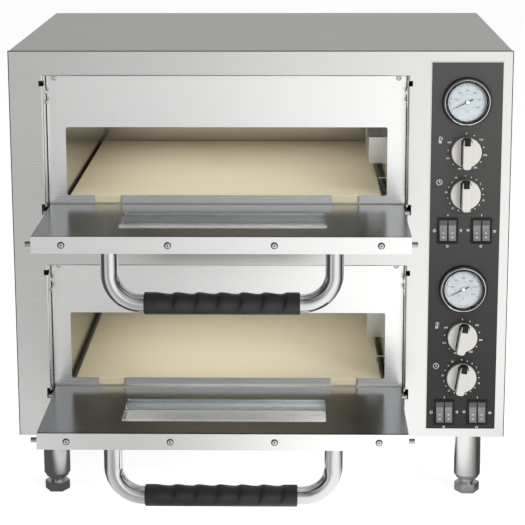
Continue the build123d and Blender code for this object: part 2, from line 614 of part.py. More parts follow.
# Lamp guards: slotted boxes on the right wall of each chamber, open towards the wall.
guard_middle = PLATE_BACK + GUARD_SETBACK + GUARD_LENGTH / 2
guard_x = CHAMBER_WALL_X - GUARD_WIDTH
slot_pitch = (GUARD_LENGTH - 2 * GUARD_SLOT_BORDER) / GUARD_SLOTS
with BuildPart() as lamp_guards:
    for floor in DECKS.values():
        guard_z = floor + SILL_HEIGHT + GUARD_RISE + GUARD_HEIGHT / 2
        with BuildSketch(sideways(guard_x)):
            with Locations((guard_middle, guard_z)):
                Rectangle(GUARD_LENGTH, GUARD_HEIGHT)
        extrude(amount=GUARD_WIDTH)
        with BuildSketch(sideways(guard_x + LINER_SHEET)):
            with Locations((guard_middle, guard_z)):
                Rectangle(GUARD_LENGTH - 2 * LINER_SHEET, GUARD_HEIGHT - 2 * LINER_SHEET)
        extrude(amount=GUARD_WIDTH, mode=Mode.SUBTRACT)
        with BuildSketch(sideways(guard_x)):
            with Locations((guard_middle, guard_z)):
                with GridLocations(slot_pitch, 1, GUARD_SLOTS, 1):
                    SlotOverall(GUARD_HEIGHT - 2 * GUARD_SLOT_BORDER, GUARD_SLOT_WIDTH, rotation=90)
        extrude(amount=LINER_SHEET, mode=Mode.SUBTRACT)
save(lamp_guards, "lamp_guards")

# Lamps: a glass tube with a round end, standing in a cap at the guard's far end.
lamp_x = guard_x + (GUARD_WIDTH + LINER_SHEET) / 2
cap_end = PLATE_BACK + GUARD_SETBACK + GUARD_LENGTH - LINER_SHEET
glass_length = GUARD_LENGTH - 4 * LAMP_CAP_RADIUS
with BuildPart() as oven_lamps:
    for floor in DECKS.values():
        lamp_z = floor + SILL_HEIGHT + GUARD_RISE + GUARD_HEIGHT / 2
        lamp_foot = (lamp_x, FRONT + cap_end, lamp_z)
        with BuildSketch(Plane(origin=lamp_foot, x_dir=(0, -1, 0), z_dir=(1, 0, 0))):
            with BuildLine():
                Polyline(
                    (glass_length - LAMP_RADIUS, LAMP_RADIUS),
                    (LAMP_CAP_LENGTH, LAMP_RADIUS),
                    (LAMP_CAP_LENGTH, LAMP_CAP_RADIUS),
                    (0, LAMP_CAP_RADIUS),
                    (0, 0),
                    (glass_length, 0),
                )
                RadiusArc((glass_length, 0), (glass_length - LAMP_RADIUS, LAMP_RADIUS), -LAMP_RADIUS)
            make_face()
        revolve(axis=Axis(lamp_foot, (0, 1, 0)))
save(oven_lamps, "oven_lamps")

# Temperature sensors: a thin bulb held along the right wall, just above each stone, by two clips.
sensor_x = CHAMBER_WALL_X - CLIP_HEIGHT / 2
sensor_middle = PLATE_BACK + SENSOR_SETBACK + SENSOR_LENGTH / 2
with BuildPart() as sensor_bulbs:
    with Locations(
        *[(sensor_x, FRONT + sensor_middle, floor + SILL_HEIGHT + SENSOR_RISE) for floor in DECKS.values()]
    ):
        Cylinder(SENSOR_RADIUS, SENSOR_LENGTH, rotation=ALONG_Y)
    chamfer(sensor_bulbs.edges().filter_by(GeomType.CIRCLE), SENSOR_RADIUS / 4)
save(sensor_bulbs, "sensor_bulbs")

clip_places = [
    (sensor_x, FRONT + sensor_middle + side * SENSOR_LENGTH / 3, floor + SILL_HEIGHT + SENSOR_RISE)
    for floor in DECKS.values()
    for side in (-1, 1)
]
with BuildPart() as sensor_clips:
    with Locations(*clip_places):
        Box(CLIP_HEIGHT, CLIP_LENGTH, CLIP_HEIGHT)
        Cylinder(SENSOR_RADIUS, 2 * CLIP_LENGTH, rotation=ALONG_Y, mode=Mode.SUBTRACT)
save(sensor_clips, "sensor_clips")

# ---------------------------------------------------------------- controls fixed to the panel
# Thermometer cases: a bezel in front of the panel and a closed cup behind it.
with BuildPart() as gauge_cases:
    for gauge_z in GAUGES.values():
        with BuildSketch(facing(BEZEL_FRONT)):
            with Locations((PANEL_X, gauge_z)):
                Circle(BEZEL_RADIUS)
        extrude(amount=-BEZEL_HEIGHT)
        bezel_rims = gauge_cases.edges().group_by(Axis.Y)[0]
        fillet(bezel_rims.filter_by_position(Axis.Z, gauge_z - 1, gauge_z + 1), BEZEL_ROUND)
        with BuildSketch(facing(-PANEL_SHEET)):
            with Locations((PANEL_X, gauge_z)):
                Circle(GAUGE_CUP_RADIUS)
        extrude(amount=-GAUGE_CUP_DEPTH)
        with BuildSketch(facing(BEZEL_FRONT)):
            with Locations((PANEL_X, gauge_z)):
                Circle(GAUGE_BORE)
        extrude(amount=-(GAUGE_CUP_DEPTH - GAUGE_CUP_WALL), mode=Mode.SUBTRACT)
        with BuildSketch(facing(BEZEL_FRONT + BEZEL_LIP)):
            with Locations((PANEL_X, gauge_z)):
                Circle(LENS_RADIUS)
        extrude(amount=-LENS_THICKNESS, mode=Mode.SUBTRACT)
save(gauge_cases, "gauge_cases")

# Lenses, and dials with a hole for the needle's shaft.
with BuildPart() as gauge_lenses:
    with BuildSketch(facing(BEZEL_FRONT + BEZEL_LIP)):
        with Locations(*[(PANEL_X, z) for z in GAUGES.values()]):
            Circle(LENS_RADIUS)
    extrude(amount=-LENS_THICKNESS)
save(gauge_lenses, "gauge_lenses")

with BuildPart() as gauge_dials:
    with BuildSketch(facing(DIAL_FRONT)):
        with Locations(*[(PANEL_X, z) for z in GAUGES.values()]):
            Circle(GAUGE_BORE)
            Circle(NEEDLE_SHAFT_RADIUS + PIVOT_FIT, mode=Mode.SUBTRACT)
    extrude(amount=-DIAL_THICKNESS)
save(gauge_dials, "gauge_dials")

# Thermostats and timers: a box behind the panel, with a bushing and its nut through the panel.
for control, heights, depth in (
    ("thermostats", TEMPERATURES, THERMOSTAT_DEPTH),
    ("timers", TIMERS, TIMER_DEPTH),
):
    with BuildPart() as control_bodies:
        for control_z in heights.values():
            with BuildSketch(facing(CONTROL_STANDOFF)):
                with Locations((PANEL_X, control_z)):
                    RectangleRounded(CONTROL_BODY, CONTROL_BODY, CONTROL_STANDOFF)
            extrude(amount=-depth)
            with BuildSketch(facing(CONTROL_STANDOFF)):
                with Locations((PANEL_X, control_z)):
                    Circle(BUSHING_RADIUS)
            extrude(amount=CONTROL_STANDOFF + PANEL_SHEET + BUSHING_NUT_HEIGHT)
            with BuildSketch(facing(-PANEL_SHEET)):
                with Locations((PANEL_X, control_z)):
                    RegularPolygon(BUSHING_NUT / 2, 6, major_radius=False)
            extrude(amount=BUSHING_NUT_HEIGHT)
            with BuildSketch(facing(KNOB_BACK - KNOB_DISC)):
                with Locations((PANEL_X, control_z)):
                    Circle(STEM_RADIUS + STEM_FIT)
            extrude(amount=-(KNOB_DISC + STEM_LENGTH), mode=Mode.SUBTRACT)
    save(control_bodies, control)

# Switch housings: a bezel in front, a box behind, and a well for each of two rockers.
with BuildPart() as switch_housings:
    with BuildSketch(facing(SWITCH_FRONT)):
        with Locations(*switch_places):
            RectangleRounded(SWITCH_WIDTH, SWITCH_HEIGHT, SWITCH_INSET)
    extrude(amount=-SWITCH_BEZEL)
    with BuildSketch(facing(-PANEL_SHEET)):
        with Locations(*switch_places):
            Rectangle(SWITCH_BODY[0] - SHEET_GAP, SWITCH_BODY[1] - SHEET_GAP)
    extrude(amount=-SWITCH_DEPTH)
    with BuildSketch(facing(SWITCH_FRONT)):
        with Locations(*[(x + side * ROCKER_SPREAD, z) for x, z in switch_places for side in (-1, 1)]):
            Rectangle(ROCKER_WIDTH + 2 * ROCKER_SIDE_GAP, 2 * WELL_HALF_HEIGHT)
    extrude(amount=-(SWITCH_DEPTH / 2), mode=Mode.SUBTRACT)
    with Locations(
        *[
            (x + side * ROCKER_SPREAD, FRONT + ROCKER_PIVOT_DEPTH, z)
            for x, z in switch_places
            for side in (-1, 1)
        ]
    ):
        Cylinder(
            ROCKER_PIVOT_RADIUS + PIVOT_FIT,
            ROCKER_WIDTH + 2 * ROCKER_PIVOT_REACH + PIN_HOLE_GAP,
            rotation=ALONG_X,
            mode=Mode.SUBTRACT,
        )
save(switch_housings, "switch_housings")

# ---------------------------------------------------------------- controls that move
# Knobs: a disc with a raised bar that points at the scale, and a stem that turns in the bushing.
for deck in DECKS:
    for control, control_z in (("temperature", TEMPERATURES[deck]), ("timer", TIMERS[deck])):
        turn = radians(KNOB_TURN[deck])
        knob_face = Plane(
            origin=(PANEL_X, FRONT + KNOB_BACK, control_z), x_dir=(cos(turn), 0, sin(turn)), z_dir=(0, -1, 0)
        )
        with BuildPart() as knob:
            with BuildSketch(knob_face):
                Circle(KNOB_RADIUS)
            extrude(amount=KNOB_DISC)
            fillet(knob.edges().group_by(Axis.Y)[0], KNOB_EDGE)
            with BuildSketch(knob_face.offset(KNOB_DISC)):
                with Locations((0, -KNOB_BAR_OVERHANG / 2)):
                    RectangleRounded(KNOB_BAR_WIDTH, 2 * KNOB_RADIUS + KNOB_BAR_OVERHANG, KNOB_BAR_WIDTH / 3)
            extrude(amount=KNOB_BAR_HEIGHT)
            fillet(knob.edges().group_by(Axis.Y)[0], KNOB_EDGE)
            with BuildSketch(knob_face):
                Circle(KNOB_HOLLOW_RADIUS)
            extrude(amount=KNOB_HOLLOW_DEPTH, mode=Mode.SUBTRACT)
            with BuildSketch(knob_face.offset(KNOB_HOLLOW_DEPTH)):
                Circle(STEM_RADIUS)
            extrude(amount=-(KNOB_HOLLOW_DEPTH + STEM_LENGTH))
        save(knob, f"{deck}_{control}_knob")

# Rockers: a shallow V in front, turning on two stub pins; the upper end is pressed in at rest.
rocker_names = ("power", "lamp", "top_heat", "stone_heat")
for deck, switch_z in SWITCHES.items():
    for index, name in enumerate(rocker_names):
        housing_side, rocker_side = (-1, 1)[index // 2], (-1, 1)[index % 2]
        rocker_x = PANEL_X + housing_side * SWITCH_SPREAD + rocker_side * ROCKER_SPREAD
        tilt = radians(-ROCKER_TILT)
        section = Plane(
            origin=(rocker_x - ROCKER_WIDTH / 2, FRONT + ROCKER_PIVOT_DEPTH, switch_z),
            x_dir=(0, cos(tilt), sin(tilt)),
            z_dir=(1, 0, 0),
        )
        with BuildPart() as rocker:
            with BuildSketch(section):
                with BuildLine():
                    Polyline(
                        (-ROCKER_FACE, 0),
                        (-ROCKER_END_FACE, ROCKER_HALF_HEIGHT),
                        (ROCKER_BACK, ROCKER_HALF_HEIGHT - ROCKER_DRAFT),
                        (ROCKER_BACK, ROCKER_DRAFT - ROCKER_HALF_HEIGHT),
                        (-ROCKER_END_FACE, -ROCKER_HALF_HEIGHT),
                        close=True,
                    )
                make_face()
            extrude(amount=ROCKER_WIDTH)
            with BuildSketch(section.offset(-ROCKER_PIVOT_REACH)):
                Circle(ROCKER_PIVOT_RADIUS)
            extrude(amount=ROCKER_WIDTH + 2 * ROCKER_PIVOT_REACH)
        save(rocker, f"{deck}_{name}_rocker")

# Needles: a tapered hand with a hub, and a shaft through the dial.
for deck, gauge_z in GAUGES.items():
    turn = radians(NEEDLE_REST_ANGLE)
    needle_face = Plane(
        origin=(PANEL_X, FRONT + DIAL_FRONT - NEEDLE_LIFT, gauge_z),
        x_dir=(cos(turn), 0, sin(turn)),
        z_dir=(0, -1, 0),
    )
    with BuildPart() as needle:
        with BuildSketch(needle_face):
            with BuildLine():
                Polyline(
                    (NEEDLE_LENGTH, 0),
                    (0, NEEDLE_WIDTH / 2),
                    (-NEEDLE_TAIL, NEEDLE_WIDTH / 2),
                    (-NEEDLE_TAIL, -NEEDLE_WIDTH / 2),
                    (0, -NEEDLE_WIDTH / 2),
                    close=True,
                )
            make_face()
            Circle(NEEDLE_HUB_RADIUS)
        extrude(amount=NEEDLE_THICKNESS)
        with BuildSketch(needle_face):
            Circle(NEEDLE_SHAFT_RADIUS)
        extrude(amount=-(2 * NEEDLE_LIFT + DIAL_THICKNESS))
    save(needle, f"{deck}_gauge_needle")

# ---------------------------------------------------------------- doors
window_x = RECESS_X
glass_width = WINDOW_WIDTH + 2 * GLASS_LAP
glass_height = WINDOW_HEIGHT + 2 * GLASS_LAP
collar_wall = GLASS_GAP + LINER_SHEET
for deck, floor in DECKS.items():
    pivot_y = FRONT + PIVOT_DEPTH
    pivot_z = floor + PIVOT_RISE
    outer_z = pivot_z - DOOR_HALF
    inner_z = pivot_z + DOOR_HALF
    stop_place = (STOP_PIN_DEPTH, pivot_z + STOP_PIN_RISE)
    latch_place = (PIVOT_DEPTH + LATCH_PIN_OFFSET, pivot_z)
    free_flange = facing(FREE_EDGE)
    cavity_low, cavity_high = FREE_EDGE + DOOR_SHEET, HINGE_EDGE - HINGE_EDGE_RIM
    handle_places = [(RECESS_X + side * HANDLE_SPAN / 2, FRONT + HANDLE_DEPTH) for side in (-1, 1)]

    # Door pan: the outer skin with its folded rims, rounded along the hinge edge.
    with BuildPart() as door_pan:
        with BuildSketch(sideways(RECESS_X - DOOR_WIDTH / 2)) as door_section:
            with Locations((HINGE_EDGE - DOOR_LENGTH / 2, pivot_z)):
                Rectangle(DOOR_LENGTH, DOOR_THICKNESS)
            fillet(door_section.vertices().group_by(Axis.X)[-1], HINGE_EDGE_RADIUS)
        extrude(amount=DOOR_WIDTH)
        with BuildSketch(Plane.XY.offset(outer_z + DOOR_SHEET)):
            with Locations((RECESS_X, FRONT + (cavity_low + cavity_high) / 2)):
                Rectangle(DOOR_WIDTH - 2 * DOOR_SHEET, cavity_high - cavity_low)
        extrude(amount=DOOR_THICKNESS, mode=Mode.SUBTRACT)
        with BuildSketch(Plane.XY.offset(outer_z)):
            with Locations((window_x, FRONT + WINDOW_DEPTH)):
                RectangleRounded(WINDOW_WIDTH, WINDOW_HEIGHT, APERTURE_CORNER)
            with Locations(*handle_places):
                Circle(BOLT_RADIUS + PIN_HOLE_GAP)
        extrude(amount=DOOR_SHEET, mode=Mode.SUBTRACT)
        with BuildSketch(sideways(RECESS_X - DOOR_WIDTH / 2)):
            with Locations((PIVOT_DEPTH, pivot_z)):
                Circle(PIVOT_RADIUS + PIN_HOLE_GAP)
            with Locations(stop_place, latch_place):
                Circle(CATCH_PIN_RADIUS + PIN_HOLE_GAP)
        extrude(amount=DOOR_WIDTH, mode=Mode.SUBTRACT)
        with BuildSketch(free_flange):
            with Locations(*[(RECESS_X + offset, pivot_z) for offset in DOOR_SCREW_OFFSETS]):
                Circle(SCREW_RADIUS + SCREW_HOLE_GAP)
        extrude(amount=-DOOR_SHEET, mode=Mode.SUBTRACT)
    save(door_pan, f"{deck}_door_pan")

    # Door liner: the polished inner skin, with a collar round the glass.
    with BuildPart() as door_liner:
        with BuildSketch(Plane.XY.offset(inner_z - DOOR_SHEET)):
            with Locations((RECESS_X, FRONT + (cavity_low + cavity_high) / 2)):
                liner_length = cavity_high - cavity_low - 2 * GLASS_GAP
                Rectangle(DOOR_WIDTH - 2 * (DOOR_SHEET + GLASS_GAP), liner_length)
            with Locations((window_x, FRONT + WINDOW_DEPTH)):
                RectangleRounded(WINDOW_WIDTH, WINDOW_HEIGHT, APERTURE_CORNER, mode=Mode.SUBTRACT)
        extrude(amount=DOOR_SHEET)
        with BuildSketch(Plane.XY.offset(outer_z + DOOR_SHEET)):
            with Locations((window_x, FRONT + WINDOW_DEPTH)):
                Rectangle(glass_width + 2 * collar_wall, glass_height + 2 * collar_wall)
                Rectangle(glass_width + 2 * GLASS_GAP, glass_height + 2 * GLASS_GAP, mode=Mode.SUBTRACT)
        extrude(amount=DOOR_THICKNESS - 2 * DOOR_SHEET)
    save(door_liner, f"{deck}_door_liner")

    # Door glass: a sealed unit of two panes with a spacer between them.
    pane_low = outer_z + DOOR_SHEET + GLASS_GAP
    pane_high = inner_z - DOOR_SHEET - GLASS_GAP - PANE_THICKNESS
    spacer_low = pane_low + PANE_THICKNESS + PIN_HOLE_GAP
    with BuildPart() as door_glass:
        for low in (pane_low, pane_high):
            with BuildSketch(Plane.XY.offset(low)):
                with Locations((window_x, FRONT + WINDOW_DEPTH)):
                    Rectangle(glass_width, glass_height)
            extrude(amount=PANE_THICKNESS)
        with BuildSketch(Plane.XY.offset(spacer_low)):
            with Locations((window_x, FRONT + WINDOW_DEPTH)):
                Rectangle(glass_width, glass_height)
                spacer_hole = (glass_width - 2 * SPACER_WIDTH, glass_height - 2 * SPACER_WIDTH)
                Rectangle(*spacer_hole, mode=Mode.SUBTRACT)
        extrude(amount=pane_high - PIN_HOLE_GAP - spacer_low)
    save(door_glass, f"{deck}_door_glass")

    # Handle: a bent tube, plugged and tapped at both ends.
    handle_z = outer_z - HANDLE_REACH
    left_x, right_x = [place[0] for place in handle_places]
    with BuildPart() as handle:
        with BuildLine(facing(HANDLE_DEPTH)) as handle_route:
            FilletPolyline(
                (left_x, outer_z),
                (left_x, handle_z),
                (right_x, handle_z),
                (right_x, outer_z),
                radius=HANDLE_BEND,
            )
        with BuildSketch(Plane(origin=handle_route.line @ 0, z_dir=handle_route.line % 0)):
            Circle(HANDLE_RADIUS)
            Circle(HANDLE_BORE, mode=Mode.SUBTRACT)
        sweep(path=handle_route.line)
        with BuildSketch(Plane.XY.offset(outer_z)):
            with Locations(*handle_places):
                Circle(HANDLE_BORE + HANDLE_PLUG_LAP)
        extrude(amount=-HANDLE_PLUG)
        with BuildSketch(Plane.XY.offset(outer_z)):
            with Locations(*handle_places):
                Circle(BOLT_RADIUS)
        extrude(amount=-HANDLE_PLUG, mode=Mode.SUBTRACT)
    save(handle, f"{deck}_door_handle")

    # Grip: a rubber sleeve on the straight of the handle, with finger grooves towards the door.
    grip_x = RECESS_X + GRIP_SHIFT[deck]
    groove_z = handle_z + GRIP_RADIUS + GROOVE_RADIUS - GROOVE_DEPTH
    with BuildPart() as grip:
        with Locations((grip_x, FRONT + HANDLE_DEPTH, handle_z)):
            Cylinder(GRIP_RADIUS, GRIP_LENGTH, rotation=ALONG_X)
            fillet(grip.edges().filter_by(GeomType.CIRCLE), GRIP_EDGE)
            Cylinder(HANDLE_RADIUS, GRIP_LENGTH, rotation=ALONG_X, mode=Mode.SUBTRACT)
        with Locations((grip_x, FRONT + HANDLE_DEPTH, groove_z)):
            with GridLocations(GROOVE_PITCH, 1, GROOVE_COUNT, 1):
                Cylinder(GROOVE_RADIUS, 2 * GRIP_RADIUS, rotation=ALONG_Y, mode=Mode.SUBTRACT)
    save(grip, f"{deck}_handle_grip")

    # Pins: on each side a hinge pivot, a stop that rests in the frame's notch, and a latch pin.
    with BuildPart() as door_pins:
        for side in (-1, 1):
            pin_x = RECESS_X + side * (DOOR_WIDTH / 2 + (PIN_REACH - PIN_ROOT) / 2)
            with Locations((pin_x, pivot_y, pivot_z)):
                Cylinder(PIVOT_RADIUS, PIN_REACH + PIN_ROOT, rotation=ALONG_X)
            with Locations(*[(pin_x, FRONT + depth, height) for depth, height in (stop_place, latch_place)]):
                Cylinder(CATCH_PIN_RADIUS, PIN_REACH + PIN_ROOT, rotation=ALONG_X)
    save(door_pins, f"{deck}_door_pins")

    # Screws: four through the free edge, and the two bolts that hold the handle.
    with BuildPart() as door_screws:
        screw_places = [(RECESS_X + offset, pivot_z) for offset in DOOR_SCREW_OFFSETS]
        with BuildSketch(free_flange):
            with Locations(*screw_places):
                Circle(SCREW_HEAD_RADIUS)
        extrude(amount=SCREW_HEAD_HEIGHT)
        with BuildSketch(free_flange):
            with Locations(*screw_places):
                Circle(SCREW_RADIUS)
        extrude(amount=-SCREW_LENGTH)
        with BuildSketch(Plane.XY.offset(outer_z + DOOR_SHEET)):
            with Locations(*handle_places):
                RegularPolygon(BOLT_HEAD_RADIUS, 6)
        extrude(amount=BOLT_HEAD_HEIGHT)
        with BuildSketch(Plane.XY.offset(outer_z + DOOR_SHEET)):
            with Locations(*handle_places):
                Circle(BOLT_RADIUS)
        extrude(amount=-(DOOR_SHEET + HANDLE_PLUG - 2 * BOLT_RADIUS))
    save(door_screws, f"{deck}_door_screws")

# Catches: a riveted leaf with a bump, on each side wall of both recesses.
with BuildPart() as door_catches:
    for floor in DECKS.values():
        for side in (-1, 1):
            wall_x = RECESS_X + side * RECESS_WIDTH / 2
            leaf_x = wall_x - side * CATCH_LEAF / 2
            leaf_z = floor + RECESS_HEIGHT - CATCH_DROP - CATCH_LENGTH / 2
            with Locations((leaf_x, FRONT + PIVOT_DEPTH, leaf_z)):
                Box(CATCH_LEAF, CATCH_WIDTH, CATCH_LENGTH)
            with Locations((wall_x, FRONT + PIVOT_DEPTH, leaf_z + CATCH_LENGTH / 4)):
                Cylinder(CATCH_LEAF + CATCH_BUMP, CATCH_WIDTH, rotation=ALONG_Y)
            with Locations((wall_x, FRONT + PIVOT_DEPTH, leaf_z - CATCH_LENGTH / 4)):
                Cylinder(CATCH_RIVET_RADIUS, 2 * (CATCH_LEAF + CATCH_RIVET_HEIGHT), rotation=ALONG_X)
            with Locations((wall_x + side * CATCH_LENGTH / 2, FRONT + PIVOT_DEPTH, leaf_z)):
                Box(CATCH_LENGTH, 2 * CATCH_WIDTH, 2 * CATCH_LENGTH, mode=Mode.SUBTRACT)
save(door_catches, "door_catches")

# ---------------------------------------------------------------- legs, screws and gland
# Leg tubes: tapered at the lower end and bored for the foot's stud.
with BuildPart() as leg_tubes:
    with Locations(*[(x, y, FOOT_HEIGHT) for x, y in LEG_POSITIONS.values()]):
        Cone(LEG_TAPER_RADIUS, LEG_RADIUS, LEG_TAPER, align=(Align.CENTER, Align.CENTER, Align.MIN))
    with Locations(*[(x, y, FOOT_HEIGHT + LEG_TAPER) for x, y in LEG_POSITIONS.values()]):
        Cylinder(
            LEG_RADIUS, BODY_BOTTOM - FOOT_HEIGHT - LEG_TAPER, align=(Align.CENTER, Align.CENTER, Align.MIN)
        )
    with Locations(*[(x, y, FOOT_HEIGHT) for x, y in LEG_POSITIONS.values()]):
        Cylinder(
            STUD_RADIUS + STUD_FIT,
            BODY_BOTTOM - LEG_CAP - FOOT_HEIGHT,
            align=(Align.CENTER, Align.CENTER, Align.MIN),
            mode=Mode.SUBTRACT,
        )
        Cylinder(
            LEG_BOLT_RADIUS,
            BODY_BOTTOM - FOOT_HEIGHT,
            align=(Align.CENTER, Align.CENTER, Align.MIN),
            mode=Mode.SUBTRACT,
        )
save(leg_tubes, "leg_tubes")

# Feet: a hexagon to turn by hand, a collar and a stud that screws into the leg.
for corner, (leg_x, leg_y) in LEG_POSITIONS.items():
    with BuildPart() as foot:
        with BuildSketch(Plane((leg_x, leg_y, 0))):
            RegularPolygon(FOOT_HEX / 2, 6, major_radius=False)
        extrude(amount=FOOT_HEX_HEIGHT)
        chamfer(foot.edges().group_by(Axis.Z)[0], FOOT_EDGE)
        with BuildSketch(Plane((leg_x, leg_y, FOOT_HEX_HEIGHT))):
            Circle(FOOT_COLLAR)
        extrude(amount=FOOT_HEIGHT - FOOT_GAP - FOOT_HEX_HEIGHT)
        with BuildSketch(Plane((leg_x, leg_y, FOOT_HEX_HEIGHT))):
            Circle(STUD_RADIUS)
        extrude(amount=BODY_BOTTOM - LEG_CAP - STUD_HEADROOM - FOOT_HEX_HEIGHT)
    save(foot, f"{corner}_foot")

# Cabinet screws: in the face plates and the back panel, and a bolt down into each leg.
with BuildPart() as cabinet_screws:
    with BuildSketch(facing(RECESS_DEPTH)):
        with Locations(*PLATE_SCREWS):
            Circle(SCREW_HEAD_RADIUS)
    extrude(amount=SCREW_HEAD_HEIGHT)
    with BuildSketch(facing(RECESS_DEPTH)):
        with Locations(*PLATE_SCREWS):
            Circle(SCREW_RADIUS)
    extrude(amount=-SCREW_LENGTH)
    with BuildSketch(facing(BACK_FACE)):
        with Locations(*BACK_SCREWS):
            Circle(SCREW_HEAD_RADIUS)
    extrude(amount=-SCREW_HEAD_HEIGHT)
    with BuildSketch(facing(BACK_FACE)):
        with Locations(*BACK_SCREWS):
            Circle(SCREW_RADIUS)
    extrude(amount=SCREW_LENGTH)
    with BuildSketch(Plane.XY.offset(BODY_BOTTOM + COVER_SHEET)):
        with Locations(*LEG_POSITIONS.values()):
            RegularPolygon(2 * LEG_BOLT_RADIUS, 6)
    extrude(amount=LEG_BOLT_RADIUS)
    with BuildSketch(Plane.XY.offset(BODY_BOTTOM + COVER_SHEET)):
        with Locations(*LEG_POSITIONS.values()):
            Circle(LEG_BOLT_RADIUS)
    extrude(amount=-LEG_CAP)
save(cabinet_screws, "cabinet_screws")

# Power gland: where the supply lead would enter, a threaded body with a hexagon and a bore.
with BuildPart() as power_gland:
    with BuildSketch(facing(BACK_FACE)):
        with Locations((GLAND_X, GLAND_Z)):
            RegularPolygon(GLAND_NUT / 2, 6, major_radius=False)
    extrude(amount=-GLAND_NUT_HEIGHT)
    with BuildSketch(facing(BACK_FACE)):
        with Locations((GLAND_X, GLAND_Z)):
            Circle(GLAND_THREAD_RADIUS)
    extrude(amount=-(BACK_INSET + GLAND_REACH))
    fillet(power_gland.edges().group_by(Axis.Y)[-1], GLAND_ROUND)
    with BuildSketch(facing(BACK_FACE)):
        with Locations((GLAND_X, GLAND_Z)):
            Circle(GLAND_THREAD_RADIUS)
    extrude(amount=GLAND_THREAD_LENGTH)
    with BuildSketch(facing(BACK_FACE - GLAND_THREAD_LENGTH)):
        with Locations((GLAND_X, GLAND_Z)):
            Circle(GLAND_BORE)
    extrude(amount=-(GLAND_THREAD_LENGTH + BACK_INSET + GLAND_REACH), mode=Mode.SUBTRACT)
save(power_gland, "power_gland")
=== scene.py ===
"""Looks of a double-deck countertop pizza oven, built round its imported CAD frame.

Everything is in metres in the frame's own axes: +Z is up and the front faces -Y. Sheet metal, chambers
and handles keep their CAD shapes and get finishes. Knobs, bezels, grips, screws and printing are new
surfaces worked out with numpy.
"""

import json
import logging
from dataclasses import dataclass, field
from enum import Enum

import bmesh
import bpy
import numpy as np
from mathutils import Euler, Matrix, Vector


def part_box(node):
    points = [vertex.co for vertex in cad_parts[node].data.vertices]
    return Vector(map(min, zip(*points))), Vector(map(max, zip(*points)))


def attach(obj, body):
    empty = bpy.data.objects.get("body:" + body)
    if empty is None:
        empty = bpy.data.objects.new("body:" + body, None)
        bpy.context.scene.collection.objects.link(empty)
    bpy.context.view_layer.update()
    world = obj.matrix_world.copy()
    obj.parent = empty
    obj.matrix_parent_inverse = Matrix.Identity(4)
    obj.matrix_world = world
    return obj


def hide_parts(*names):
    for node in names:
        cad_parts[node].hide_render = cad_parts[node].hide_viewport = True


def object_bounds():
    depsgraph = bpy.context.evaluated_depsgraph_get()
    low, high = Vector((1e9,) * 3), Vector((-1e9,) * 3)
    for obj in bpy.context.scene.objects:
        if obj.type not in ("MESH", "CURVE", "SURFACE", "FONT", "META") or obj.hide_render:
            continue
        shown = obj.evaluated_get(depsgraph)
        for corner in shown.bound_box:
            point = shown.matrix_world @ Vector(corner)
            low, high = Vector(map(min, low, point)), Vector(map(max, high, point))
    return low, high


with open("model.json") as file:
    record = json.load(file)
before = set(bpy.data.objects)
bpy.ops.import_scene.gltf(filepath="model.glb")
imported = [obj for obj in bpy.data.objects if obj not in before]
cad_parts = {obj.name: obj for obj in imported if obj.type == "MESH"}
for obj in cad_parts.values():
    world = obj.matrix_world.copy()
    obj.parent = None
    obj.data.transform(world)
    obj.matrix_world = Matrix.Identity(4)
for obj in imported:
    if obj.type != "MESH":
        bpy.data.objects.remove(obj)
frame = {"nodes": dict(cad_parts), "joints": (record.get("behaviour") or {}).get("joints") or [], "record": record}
CAD_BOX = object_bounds()
MM = 0.001
LOG = logging.getLogger("pizza_oven")

Array = np.ndarray
DECKS = ("lower", "upper")
CONTROLS = ("temperature", "timer")
ROCKERS = ("power", "lamp", "top_heat", "stone_heat")


class Grain(Enum):
    """Direction of a brushed sheet's grain, as noise frequencies per metre along X, Y and Z."""

    ACROSS = (5.0, 900.0, 900.0)
    DEEP = (900.0, 5.0, 900.0)
    UPRIGHT = (900.0, 900.0, 5.0)


